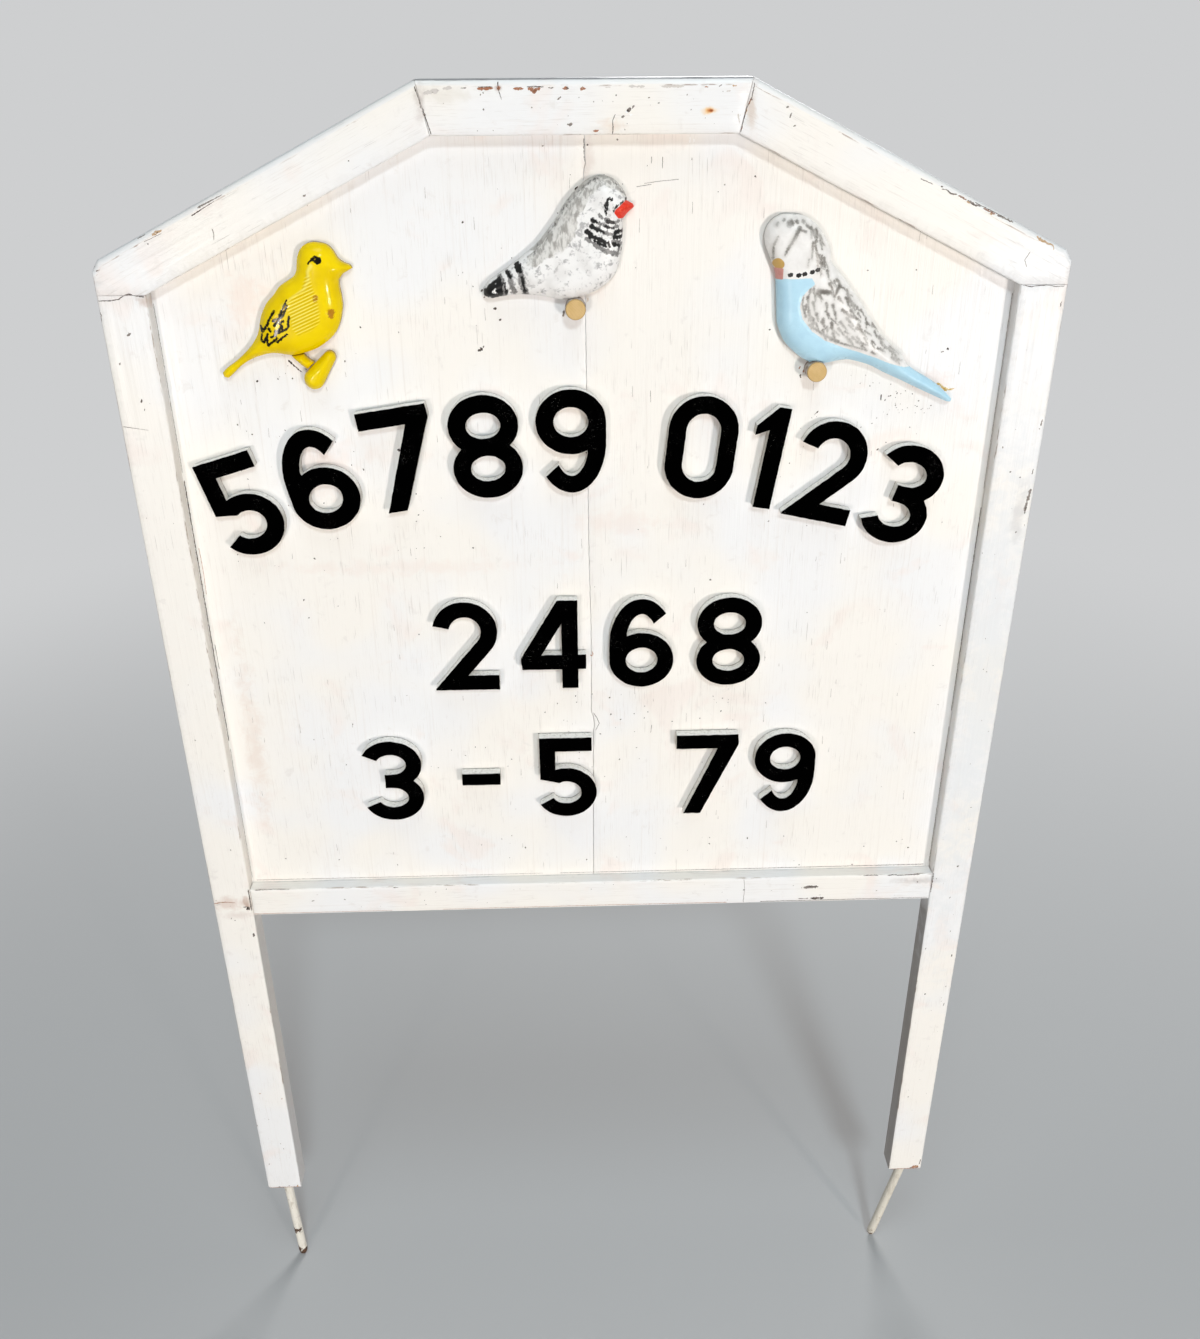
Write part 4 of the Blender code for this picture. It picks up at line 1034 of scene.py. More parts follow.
FINCH_GREY = (
    (37.1, 23.3, 41.1, 19.5, 46.2, 18.5, 2, 2), (32, 18.6, 36.1, 15.7, 44.1, 12.8, 47.6, 11.3, 3, 2.4),
    (45.1, 17.1, 51.2, 15.6, 57.2, 17.4, 2.4, 2), (30.5, 13, 42.1, 7.6, 50.2, 5.6, 58.3, 8.2, 3.2, 3.4),
    (25.8, 2.2, 31.9, -1.8, 38.9, -6.4, 46.1, -9.3, 54.2, -11.6, 2.6, 4.2), (49, 11, 55, 12.5, 2, 1.6),
    (50.2, -1.2, 56.8, -2.7, 55.6, -8.5, 3.4, 3.4), (-35.4, -24, -33, -36, -31, -45.4, 6, 5.4),
    (-46.2, -27.5, -43.8, -34, -41.4, -45, 4.4, 4.4), (-53.6, -32.5, -51.4, -38, -51, -46, 6.4, 7.4),
    (-60.5, -38.6, -66, -42, 4, 4),
)
FINCH_BAND = (
    20, 50, 30, 56, 43, 57, 56, 51, 64, 42, 63.2, 36, 57.4, 38, 50.6, 44.4, 42.3, 47.6, 36.3, 43, 31.2,
    37.5, 26.1, 31, 21, 22.5, 17.6, 16, 16, 6, 11, -1.8, 3.3, -8.4, -9.1, -14.9, -23.6, -21.6, -29.7, -21.6,
    -27, -12, -19, -1, -9, 9, 0, 20, 10, 36,
)
FINCH_BACK = (
    63, 37, 60, 44, 53, 51.5, 42, 54.5, 32, 53, 23, 47.5, 14.5, 39.5, 6, 29, -3.6, 15.5, -11, 4.6, -21, -6,
    -31.5, -16.5,
)
FINCH_BEAK = (62.2, 33.9, 69.6, 30, 70.5, 28, 59.3, 18.6, 55.2, 18.9, 51.4, 23.7, 52.4, 26.2)
FINCH_RIDGES = (
    (*FINCH_BEAK[-6:], *FINCH_BEAK[:2], 1.6, -0.7), (61, 31, 66.6, 28.2, 3, 0.8),
    (55.4, 24, 58.6, 25.6, 2.6, 0.9), (44, 33, 43.6, 24, 1.6, -0.3),
)

paint = Finish("grey_and_white_enamel", Specular_IOR_Level=0.3)
fine, wide = paint.noise(650), paint.noise(120, warp=0.8)
streak, worn = paint.noise(1, 3, 0.6, 0.4, (260, 260, 90)), paint.noise(1, 4, 0.7, 0.0, (300, 300, 150))
band, smear, ink, back, beak, rim = paint.attributes("band", "grey", "ink", "back", "beak", "rim")
band = (band + wide.ramp(0.2, 0.8, -2.2, 2.2)).ramp(-1.2, 1.0, 1.0, 0.0)
smear = (smear + worn.ramp(0.25, 0.75, -1.8, 1.5)).ramp(-0.3, 0.6, 0.85, 0.0)
ink = (ink + worn.ramp(0.25, 0.75, -1.5, 1.2)).ramp(0.0, 0.4, 1.0, 0.0)
mottle = paint.noise(210, 4, 0.7).ramp(0.49, 0.62, 0.0, 0.7) * wide.ramp(0.42, 0.56)
grey = paint.layers(
    (224, 222, 217), (streak.ramp(0.42, 0.62), (160, 156, 150)),
    (back.ramp(0.5, 3.0, 0.5, 0.0), (138, 134, 128)),
    (worn.ramp(0.52, 0.62) * back.ramp(1.2, 5.5, 1.0, 0.22), (66, 62, 58)))
dark = paint.layers((112, 110, 108), (fine.ramp(0.5, 0.6), (52, 50, 50)))
red = paint.layers((222, 48, 28), (fine.ramp(0.5, 0.7), (236, 84, 52)))
# The sides and outline are darker grey: painted shade
colour = paint.layers(
    (243, 242, 240), (mottle, (142, 140, 141)),
    (paint.noise(46, 2).ramp(0.50, 0.66, 0.0, 0.35), (206, 203, 200)),
    (rim.ramp(-3.0, 2.6, 0.5, 0.0), (160, 154, 150)), (band * 0.9, grey), (smear, dark), (ink, (9, 9, 9)),
    (beak.ramp(-0.1, 0.3, 1.0, 0.0), red))
finch_grey = paint.finish(colour, wide.ramp(0.3, 0.7, 0.28, 0.42), fine + ink, 0.00025, 0.35)

# %% Finch
carve("finch_body", FINCH_MIDDLE, finch_grey, "finch_enamel",
      {"ink": FINCH_BLACK, "grey": FINCH_GREY, "back": [(*FINCH_BACK, 0, 0)]},
      {"band": FINCH_BAND, "beak": FINCH_BEAK}, FINCH_RIDGES, "finch_perch")

# %% [markdown]
# ## The budgerigar
# Sky blue below, white on the head and wing. The wing is covered in soft grey strokes that follow its
# feathers. Only a few of them can be told apart, so those are listed one by one and the rest are scattered
# over the wing from a fixed seed, each turned along the line of the feathers.

# %% Budgerigar paint
BUDGERIGAR_MIDDLE = (261, 1159)
BLUE_TOP = (
    -90, 33, -67.9, 32.6, -52.9, 33.4, -49.3, 27.8, -54.7, 23.7, -60.5, 17.1, -62.3, 7.4, -59, -3.7, -49.3,
    -14.9, -35.9, -23.8, -18.7, -30.3, -1.6, -35.6, 14.4, -40.9, 27.8, -46.2, 43.9, -50.8, 60, -52,
)
BLUE_ZONE = (*BLUE_TOP, 110, -70, 110, -100, -100, -100, -100, 33)
WING_ZONE = (
    -48.6, 27.2, -54, 23, -59, 16, -60.4, 7.2, -57.2, -3, -48, -13.2, -35, -22, -18, -28.4, -1, -33.6, 15,
    -38.6, 28, -43.8, 37, -46.8, 42, -42, 23, -22, 6, -2, -11, 15.5, -25, 31, -36, 44,
)
NAPE_ZONE = (-62, 78, -55, 79, -48, 74, -43, 66, -40, 56, -36, 46, -44, 33, -50, 42, -52.5, 56, -56, 70)
BEAK_ZONE = (-92, 42, -79.2, 42, -79, 31.9, -90, 31.2)
CERE = (-84.4, 46.6, -83.2, 45.4, 9, 9)
NECKLACE = ((-72.7, 36.4), (-65.3, 36.1), (-59.7, 37.2), (-52.7, 38.9), (-47.6, 40.7))
BUDGERIGAR_GREY = [
    (-67.2, 76.8, -71.5, 68.2, -77, 58.9, -79.1, 53.6, 5, 1.4), (-60.7, 79.6, -53.5, 74.3, 3, 3.6),
    (-54, 64.5, -54.2, 50.4, 3, 1.6), (-51.6, 72.6, -50.1, 65, 2.8, 1.8),
    (-46.8, 66.7, -44.9, 58.6, 3.2, 1.6), (-50.3, 56.3, -48.1, 44.3, 2.4, 1.2),
    (-56.7, 50.5, -57.4, 43.4, 1.6, 0.8), (-41.6, 47.9, -38, 42, 1.8, 1.4),
    (-65.9, 75.6, -60.9, 73.8, 2.6, 2.6), (-87.6, 79.6, -86.4, 81.6, 2.4, 2),
    (-81.6, 83.2, -80.6, 84.4, 2.6, 2), (-76.4, 80.6, -74.6, 81.4, 6.4, 6),
    (-69.6, 82.6, -69.2, 82.2, 4, 4), (-63.5, 82.7, -63.1, 82.3, 3.6, 3.6),
    (-59.4, 19.5, -60, 9.8, -56, -1.3, 1.2, 2.4), (-49.9, 26, -55.5, 17, -53.8, 2.4, -47.3, -7.5, 1.4, 2.8),
    (-52.3, -8.7, -36.4, -19, -23.2, -24.7, 2.2, 3), (-26.1, 26.3, -30.3, 16.7, 3.6, 3),
    (-45.8, 21.7, -36.9, 20.4, 5, 5), (-30.9, -22.6, -15.1, -27.9, 4.6, -33.2, 2.6, 1.6),
    (1.9, -4.4, 2.7, -13.1, 2.2, 1.2), (12.1, -18.2, 23.7, -30.9, 35.1, -41.2, 1.8, 1.2),
    (-18.2, 21.4, -16.3, 14.1, -6.7, 5.5, 3.2, 1.8), (-86.4, 70, -89.6, 62, -88.6, 50, 1.6, 2.2),
]
ALL_STROKES, NAPE_STROKES = 140, 44
chance = random.Random(11)
while len(BUDGERIGAR_GREY) < ALL_STROKES:
    zone = NAPE_ZONE if len(BUDGERIGAR_GREY) < NAPE_STROKES else WING_ZONE
    x, z = chance.uniform(-62, 40), chance.uniform(-46, 79)
    if zone_gap(np.array([(x, z)]), zone)[0] > -1.2:
        continue
    lean = math.radians(np.interp(x, (-60, -45, -20, 40), (-92, -74, -46, -40)) + chance.uniform(-24, 24))
    reach = chance.uniform(2.2, 5.6)
    dx, dz = math.cos(lean) * reach, math.sin(lean) * reach
    bow = chance.uniform(-0.8, 0.8)
    widths = chance.uniform(1.8, 4.0), chance.uniform(0.4, 1.4)
    BUDGERIGAR_GREY.append((x - dx, z - dz, x - bow, z + bow, x + dx, z + dz, *widths))

paint = Finish("sky_blue_and_white_enamel", Specular_IOR_Level=0.3)
fine, wide = paint.noise(600), paint.noise(90, warp=0.5)
grey, rim, blue, cere, beak, ink = paint.attributes("grey", "rim", "blue", "cere", "beak", "ink")
soft = grey + fine.ramp(0.25, 0.75, -0.55, 0.35)
strokes = soft.ramp(-0.9, 0.5, 1.0, 0.0) * wide.ramp(0.34, 0.66, 1.0, 0.5)
blue = (blue + fine.ramp(0.25, 0.75, -0.25, 0.25)).ramp(-0.25, 0.35, 1.0, 0.0)
ink = (ink + fine.ramp(0.3, 0.7, -0.2, 0.4)).ramp(-0.1, 0.25, 1.0, 0.0)
colour = paint.layers(
    (243, 241, 238), (wide.ramp(0.42, 0.66, 0.0, 0.4), (222, 219, 215)),
    (grey.ramp(0.0, 3.0, 0.4, 0.0), (204, 200, 194)), (strokes, (142, 138, 132)), 
    (strokes * soft.ramp(-1.9, -0.9, 0.8, 0.0), (104, 100, 94)),
    # The two rim colours darken the sides and outline, on the white and on the blue: painted shade
    (rim.ramp(-3.0, 0.8, 0.6, 0.0), (142, 135, 126)),
    (blue, paint.layers((188, 226, 243), (wide.ramp(0.4, 0.7, 0.0, 0.5), (174, 214, 234)))),
    (rim.ramp(-4.0, 0.2, 0.35, 0.0), (128, 138, 144)), (cere.ramp(-0.3, 0.3, 1.0, 0.0), (206, 168, 98)),
    (beak.ramp(-0.3, 0.3, 1.0, 0.0), (212, 150, 142)), (ink, (20, 20, 20)))
budgerigar_blue = paint.finish(colour, wide.ramp(0.3, 0.7, 0.26, 0.38), wide + fine * 0.4, 0.0003, 0.3)

# %% Budgerigar
WING_RIDGES = (*BLUE_TOP[6:24], 2.6, -0.35), (*BLUE_TOP[2:6], 2.0, -0.25)
SPOTS = [(x - 0.6, z - 0.2, x + 0.6, z + 0.2, 3.8, 3.8) for x, z in NECKLACE]
carve("budgerigar_body", BUDGERIGAR_MIDDLE, budgerigar_blue, "budgerigar_enamel",
      {"grey": BUDGERIGAR_GREY, "cere": [CERE], "ink": SPOTS}, {"blue": BLUE_ZONE, "beak": BEAK_ZONE},
      WING_RIDGES, "budgerigar_perch", step=0.0011)

# %% [markdown]
# ## Perches and hidden dowels
# Below two of the birds a short length of dowel sticks out as a perch. Its sawn end was left bare, so it
# shows growth rings, while its side was painted over with the panel. A disc cut by the board cutter gives
# both: the material takes bare wood where `rim` is above zero and paint below. The frame's dowels and the
# canary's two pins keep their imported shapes, because they are inside other pieces, and only get a finish.

# %% Perches
PERCH_EASING, PERCH_STEP, PERCH_SIDES = (0.0007, 0.0003), 0.002, 48
paint = Finish("bare_end_of_perch", Specular_IOR_Level=0.3)
rim, fine, wide = paint.attribute("rim"), paint.noise(1400), paint.noise(160)
rings = (paint.attribute("grain").vector("DISTANCE", (-0.012, 0.016, 0.0), "Value") * 5200.0).math("SINE")
wood = paint.layers(
    (216, 182, 122), (wide.ramp(0.35, 0.65, 0.0, 0.6), (226, 194, 138)),
    ((rings + fine).ramp(0.6, 1.5, 0.0, 0.4), (180, 140, 82)), (rim.ramp(0.0, 1.4, 0.6, 0.0), (150, 120, 74)))
# The painted side is grey, as painted shade on the white, and darker towards the panel: dirt and painted
# shade
colour = paint.layers(
    (196, 188, 180), (wide.ramp(0.42, 0.62), (150, 132, 118)),
    (rim.ramp(-17.5, -13.0, 0.7, 0.0), (140, 104, 92)),
    ((rim + fine.ramp(0.3, 0.7, -0.3, 0.3)).ramp(-0.9, -0.5), wood))
perch_wood = paint.finish(colour, fine.ramp(0.3, 0.7, 0.5, 0.7), rings + fine, 0.0002, 0.5)

for node in ("finch_perch", "budgerigar_perch"):
    low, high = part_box(node)
    outline = circle(*round_place(node), PERCH_SIDES)
    perch = board_piece(f"turned_{node}", [outline], low.y, high.y, *PERCH_EASING, perch_wood, PERCH_STEP)
    dress(perch, "bare_dowel", node)

# %% Finishes for the dowels and pins
paint = Finish("bare_dowel_wood", Specular_IOR_Level=0.3)
fibres = paint.noise(1, 4, stretch=(40, 900, 900))
colour = paint.layers((214, 182, 130), (fibres.ramp(0.4, 0.65, 0.0, 0.8), (186, 148, 98)))
dowel_wood = paint.finish(colour, fibres.ramp(0.3, 0.7, 0.55, 0.7), fibres, 0.0002)

paint = Finish("worn_screw_steel", Metallic=1.0)
wear, rust = paint.noise(900), paint.noise(300, 4)
colour = paint.layers((150, 146, 140), (wear.ramp(0.4, 0.65), (112, 106, 98)),
                      (rust.ramp(0.54, 0.66, 0.0, 0.8), (104, 66, 42)))
screw_steel = paint.finish(colour, wear.ramp(0.3, 0.7, 0.38, 0.6), wear, 0.0001)

for kind, finish in (("_dowel_", dowel_wood), ("canary_pin", screw_steel)):
    names = [name for name in nodes if kind in name]
    for slot in (slot for name in names for slot in bpy.data.objects[name].material_slots):
        slot.material = finish
    print(len(names), "pieces get", finish.name)

# %% [markdown]
# ## Geometry Nodes: one way to grow a piece
# The rest is made with Geometry Nodes, where a few sizes drive a shape along a guide. Each tree has named
# inputs. `grow` puts a tree on a guide mesh, sets the inputs by their identifiers, and keeps the result as
# a plain mesh, so that nothing in the finished scene depends on a modifier.

# %% Helpers for node trees
def new_tree(name, *numbers, **others):
    """A Geometry Nodes tree with named inputs, and a value for each of them."""
    tree = bpy.data.node_groups.new(name, "GeometryNodeTree")
    kinds = {"Guide": "Geometry", **others, **{label: "Float" for label in numbers}, "Finish": "Material"}
    for label, kind in kinds.items():
        tree.interface.new_socket(label, in_out="INPUT", socket_type=f"NodeSocket{kind}")
    tree.interface.new_socket("Piece", in_out="OUTPUT", socket_type="NodeSocketGeometry")
    entry = tree.nodes.new("NodeGroupInput")
    return tree, {label: Value(entry, label) for label in kinds}


def close_tree(tree, given, piece):
    """The same end for every tree: real geometry, a finish, and out."""
    real = add_node(tree, "GeometryNodeRealizeInstances", {0: piece})
    finished = add_node(tree, "GeometryNodeSetMaterial", {"Geometry": real, "Material": given["Finish"]})
    add_node(tree, "NodeGroupOutput", {0: finished})
    print(tree.name, len(tree.nodes), "nodes")


def named(tree, name):
    return add_node(tree, "GeometryNodeInputNamedAttribute", {"Name": name}, "Attribute", data_type="FLOAT")


def combined(tree, **parts):
    return add_node(tree, "ShaderNodeCombineXYZ", parts)


def guide_mesh(chains, **stored):
    """A mesh of chains of points for a tree to follow, with stored numbers at each point."""
    firsts = np.cumsum([0] + [len(chain) for chain in chains])
    links = [(i, i + 1) for a, b in zip(firsts, firsts[1:]) for i in range(a, b - 1)]
    guide = bpy.data.meshes.new("guide")
    guide.from_pydata(np.concatenate(chains).tolist(), links, [])
    for name, values in stored.items():
        attribute = guide.attributes.new(name, "FLOAT", "POINT")
        attribute.data.foreach_set("value", np.concatenate(values).astype(np.float32))
    return guide


def grow(name, guide, tree, values):
    """Runs a tree on a guide mesh and keeps what comes out as a plain mesh object."""
    holder = add_object(f"{name}_guide", guide)
    modifier = holder.modifiers.new(tree.name, "NODES")
    modifier.node_group = tree
    for socket in tree.interface.items_tree:
        if socket.in_out == "INPUT" and socket.name in values:
            modifier[socket.identifier] = values[socket.name]
    holder.update_tag()
    graph = bpy.context.evaluated_depsgraph_get()
    mesh = bpy.data.meshes.new_from_object(holder.evaluated_get(graph), depsgraph=graph)
    bpy.data.objects.remove(holder)
    mesh.name = name
    return add_object(name, mesh)


# %% [markdown]
# ## Spikes
# A round steel bar is driven up into the end of each leg. Under the leg it bends inward, the right one far
# more than the left, perhaps from hard ground. The bars were painted cream with the frame, and the paint
# has worn and rusted, most of all at the tips. The guide is the bar's middle line, which is worked out
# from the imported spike: straight in the leg, an arc, then straight. The tree sweeps a circle along it,
# narrows it at the tip, and pushes its skin in and out a little.

# %% Bent bar tree
BAR_SIDES, PIT_FINENESS, PIT_LEVEL = 28, 420.0, 0.62
bar_tree, given = new_tree("Bent bar", "Radius", "Pitting")
curve = add_node(bar_tree, "GeometryNodeMeshToCurve", {"Mesh": given["Guide"]})
ring = add_node(bar_tree, "GeometryNodeCurvePrimitiveCircle", {
    "Resolution": BAR_SIDES, "Radius": given["Radius"]})
tube = add_node(bar_tree, "GeometryNodeCurveToMesh", {
    "Curve": curve, "Profile Curve": ring, "Scale": named(bar_tree, "width"), "Fill Caps": True})
bumps = add_node(bar_tree, "ShaderNodeTexNoise", {"Scale": PIT_FINENESS, "Detail": 3.0})
push = add_node(bar_tree, "GeometryNodeInputNormal").scaled((bumps - PIT_LEVEL) * given["Pitting"])
pitted = add_node(bar_tree, "GeometryNodeSetPosition", {"Geometry": tube, "Offset": push})
close_tree(bar_tree, given, pitted)

# %% Spike finish
paint = Finish("worn_cream_paint_on_steel", Specular_IOR_Level=0.4)
fine, wide = paint.noise(700, 4), paint.noise(90, 4, warp=0.6)
runs = paint.noise(1, 3, 0.6, stretch=(260, 260, 28))
x, level = paint.place().part("X"), paint.place().part("Z")
stain = abs(level + 0.099).ramp(0.005, 0.015, 0.2, 0.0) * x.ramp(-0.1, 0.1, 1.0, 0.0)
tip = (level + wide.ramp(0.3, 0.7, -0.012, 0.012)).ramp(-0.146, -0.136, 1.0, 0.0)
rust = (wide + fine * 0.5 + stain).ramp(0.99, 1.05) | tip
colour = paint.layers(
    (240, 235, 223), (x.ramp(-0.1, 0.1), (222, 216, 202)),
    (runs.ramp(0.50, 0.70, 0.0, 0.45), (190, 182, 166)), (wide.ramp(0.60, 0.72, 0.0, 0.5), (172, 158, 138)),
    (rust, paint.layers((96, 66, 46), (fine.ramp(0.4, 0.65), (58, 48, 42)))))
spike_cream = paint.finish(colour, rust.ramp(0.0, 1.0, 0.45, 0.8), fine + wide, 0.0004, 0.6)

# %% Spikes
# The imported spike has 16 corners round it. The counts of points are for the leg, the bend and the free end
PACKED_SIDES, LEG_POINTS, BEND_POINTS, FREE_POINTS = 16, 20, 14, 90
TIP_WIDTH, TIP_ROUND, SKIN = 0.56, 0.6, 0.00012


def spike_line(node):
    """The middle line of a packed spike, the share of full width at each point, and the bar's radius."""
    shape = merged_copy(node)
    corners = np.array([tuple(vertex.co) for vertex in shape.verts])
    shape.free()
    radius = (corners[:, 1].max() - corners[:, 1].min()) / 2
    top = corners[corners[:, 2] > corners[:, 2].max() - 0.0005].mean(0)
    order = corners[np.argsort(corners[:, 2])]
    tip, shoulder = order[:PACKED_SIDES].mean(0), order[PACKED_SIDES:2 * PACKED_SIDES].mean(0)
    lean = math.atan2(shoulder[0] - tip[0], shoulder[2] - tip[2])
    sine, cosine = math.sin(-lean), math.cos(lean)
    # The bend's radius and the straight length below it, from how far the tip lies inward and below the leg
    bend, rest = np.linalg.solve([[math.copysign(1 - cosine, sine), sine], [abs(sine), cosine]],
                                 [tip[0] - top[0], -tip[2]])
    line = [(top[0], 0, z) for z in np.linspace(top[2], 0, LEG_POINTS)]
    for turn in np.linspace(0, abs(lean), BEND_POINTS)[1:]:
        line.append((top[0] + math.copysign(bend * (1 - math.cos(turn)), sine), 0, -bend * math.sin(turn)))
    start, way = np.array(line[-1]), np.array((sine, 0, -cosine))
    line = np.array(line + [start + share * rest * way for share in np.linspace(0, 1, FREE_POINTS)[1:]])
    left = np.linalg.norm(line - line[-1], axis=1)
    # The tip is narrower and a little rounded
    width = TIP_WIDTH + (1 - TIP_WIDTH) * np.clip(left / radius, 0, 1) ** TIP_ROUND
    print(node, "leans", round(math.degrees(lean), 1), "degrees, bend radius", round(bend * 1000, 1), "mm")
    return line, width, radius


for side in ("left", "right"):
    node = f"spike_{side}"
    line, width, radius = spike_line(node)
    spike = grow(f"bent_{node}", guide_mesh([line], width=[width]), bar_tree,
                 {"Radius": radius - SKIN, "Pitting": 3 * SKIN, "Finish": spike_cream})
    shade(spike.data, ROUND_SHADE)
    dress(spike, "spike_paint", node)

# %% [markdown]
# ## Screws
# Eight slotted countersunk screws hold the battens. One tree makes the screw from a cone for its head and
# one for its shank, cuts the slot, and sets a copy at each point of the guide, each with its slot turned
# another way. Eight hand-placed copies would do as well, but then a new size would have to be set eight
# times.

# %% Slotted screw tree
CONE_SIDES, THREAD_SHARE, TIP_RADIUS = 32, 0.98, 0.0005
screw_tree, given = new_tree("Slotted screws", "Head Radius", "Shank Radius", "Length", "Slot Width")
head_radius, shank_radius, length, slot = (
    given[label] for label in ("Head Radius", "Shank Radius", "Length", "Slot Width"))


def cone(top, bottom, depth, z):
    shape = add_node(screw_tree, "GeometryNodeMeshCone",
                     {"Vertices": CONE_SIDES, "Radius Top": top, "Radius Bottom": bottom, "Depth": depth})
    place = combined(screw_tree, Z=z)
    return add_node(screw_tree, "GeometryNodeTransform", {"Geometry": shape, "Translation": place})


def boolean(operation, **meshes):
    sockets = {key.replace("_", " "): mesh for key, mesh in meshes.items()}
    return add_node(screw_tree, "GeometryNodeMeshBoolean", sockets, operation=operation, solver="EXACT")


neck = head_radius - shank_radius
head = cone(head_radius, shank_radius, neck, neck * -1.0)
shank = cone(shank_radius * THREAD_SHARE, TIP_RADIUS, length - neck * 0.5, length * -1.0)
whole = boolean("UNION", Mesh_2=head)
screw_tree.links.new(shank.socket, whole.node.inputs["Mesh 2"])
bar_size = combined(screw_tree, X=head_radius * 3.0, Y=slot, Z=slot * 2.0)
bar = add_node(screw_tree, "GeometryNodeMeshCube", {"Size": bar_size})
slotted = boolean("DIFFERENCE", Mesh_1=whole, Mesh_2=bar)
spin = combined(screw_tree, X=-math.pi / 2, Y=named(screw_tree, "turn"))
turned = add_node(screw_tree, "GeometryNodeInstanceOnPoints", {
    "Points": given["Guide"], "Instance": slotted, "Rotation": spin})
close_tree(screw_tree, given, turned)

# %% Screws
SHANK_RADIUS, SLOT_WIDTH = 0.0020, 0.0010
chance = random.Random(5)
low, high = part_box(screws[0])
heads, turns = [], []
for node in screws:
    x, z, _ = round_place(node)
    heads.append([(x, high.y, z)])
    turns.append([chance.uniform(0, math.pi)])
fixings = grow("slotted_screws", guide_mesh(heads, turn=turns), screw_tree, {
    "Head Radius": (high.z - low.z) / 2, "Shank Radius": SHANK_RADIUS, "Length": high.y - low.y,
    "Slot Width": SLOT_WIDTH, "Finish": screw_steel})
dress(fixings, "screw_steel", *screws)
depths = places_of(fixings)[:, 1]
print(len(screws), "screws, from", round(depths.min(), 4), "to", round(depths.max(), 4))

# %% [markdown]
# ## Wear that has a place of its own
# Cracks at the joints, chips along the top, knocks and specks each sit at one spot on the real sign, so
# they can't come from a random pattern. Each is a line in millimetres, with a width at both ends and a
# tone. The guide holds every line as a chain of points, each with its width. The tree lays a ribbon on
# each line, makes its edge ragged with noise, and drops it onto the paint by casting rays back from the
# front. Painting a texture by hand would do it too, but these marks stay sharp at any distance.

# %% Tree for marks lying on a surface
# Points that no ray sets down stay in front of this depth and are deleted
MISSED = -0.05
RAY_LENGTH, POINTS_ACROSS = 0.2, 5
mark_tree, given = new_tree("Marks on a surface", "Raggedness", "Fineness", "Lift", Surface="Object")
curve = add_node(mark_tree, "GeometryNodeMeshToCurve", {"Mesh": given["Guide"]})
facing = add_node(mark_tree, "GeometryNodeSetCurveNormal", {
    "Curve": curve, "Normal": (0, -1, 0)}, mode="FREE")
across = add_node(mark_tree, "GeometryNodeCurvePrimitiveLine", {"Start": (0, -0.5, 0), "End": (0, 0.5, 0)})
across = add_node(mark_tree, "GeometryNodeResampleCurve", {"Curve": across, "Count": POINTS_ACROSS})
ribbon = add_node(mark_tree, "GeometryNodeCurveToMesh", {
    "Curve": facing, "Profile Curve": across, "Scale": named(mark_tree, "width")})
ragged = add_node(mark_tree, "ShaderNodeTexNoise", {"Scale": given["Fineness"], "Detail": 3.0}, "Color")
in_plane = ragged.vector("SUBTRACT", (0.5, 0.5, 0.5)).vector("MULTIPLY", (1, 0, 1))
push = in_plane.scaled(named(mark_tree, "width") * given["Raggedness"])
shaken = add_node(mark_tree, "GeometryNodeSetPosition", {"Geometry": ribbon, "Offset": push})
surface = add_node(mark_tree, "GeometryNodeObjectInfo", {"Object": given["Surface"]}, "Geometry")
hit = add_node(mark_tree, "GeometryNodeRaycast",
               {"Target Geometry": surface, "Ray Direction": (0, 1, 0), "Ray Length": RAY_LENGTH}, "Is Hit")
landed = Value(hit.node, "Hit Position").vector("ADD", combined(mark_tree, Y=given["Lift"] * -1.0))
laid = add_node(mark_tree, "GeometryNodeSetPosition", {
    "Geometry": shaken, "Selection": hit, "Position": landed})
depth = add_node(mark_tree, "GeometryNodeInputPosition").part("Y")
missed = add_node(mark_tree, "FunctionNodeCompare", {0: depth, 1: MISSED}, operation="LESS_THAN")
kept = add_node(mark_tree, "GeometryNodeDeleteGeometry", {"Geometry": laid, "Selection": missed})
close_tree(mark_tree, given, kept)

# %% Finish of the marks
DARK, GREY, BROWN, TAN, PALE, FAINT = range(6)
SHADES = {GREY: (134, 126, 120), BROWN: (168, 112, 82), TAN: (196, 164, 128), PALE: (250, 249, 247),
          FAINT: (214, 208, 202)}
paint = Finish("bare_wood_and_dirt_in_marks", Specular_IOR_Level=0.2)
tone, fine = paint.attribute("tone"), paint.noise(900, 4)
colour = paint.layers(
    (62, 50, 44), *((tone.ramp(level - 0.6, level - 0.4), shade) for level, shade in SHADES.items()),
    (fine.ramp(0.50, 0.68, 0.0, 0.7) * tone.ramp(3.4, 3.6, 1.0, 0.0), (196, 184, 174)))
mark_finish = paint.finish(colour, fine.ramp(0.3, 0.7, 0.6, 0.8), fine, 0.0002)

# %% How marks are written down
GUIDE_DEPTH, POINT_EVERY, FEWEST_POINTS, END_WIDTH = -0.06, 0.8, 7, 0.02


def spot(x, z, long, wide, turn=0, tone=DARK):
    """A small mark: a short line through its middle."""
    across, upward = long / 2 * math.cos(math.radians(turn)), long / 2 * math.sin(math.radians(turn))
    return x - across, z - upward, x + across, z + upward, wide, wide, tone


def specks(seed, count, low, high, sizes=(0.5, 1.3), tone=DARK):
    """Small specks of dirt scattered over a box, from a fixed seed."""
    chance = random.Random(seed)
    found = []
    for _ in range(count):
        size = sizes[0] + (sizes[1] - sizes[0]) * chance.random() ** 2
        place = chance.uniform(low[0], high[0]), chance.uniform(low[1], high[1])
        found.append((*place, size * chance.uniform(1, 2.2), size, chance.uniform(0, 180), tone))
    return found


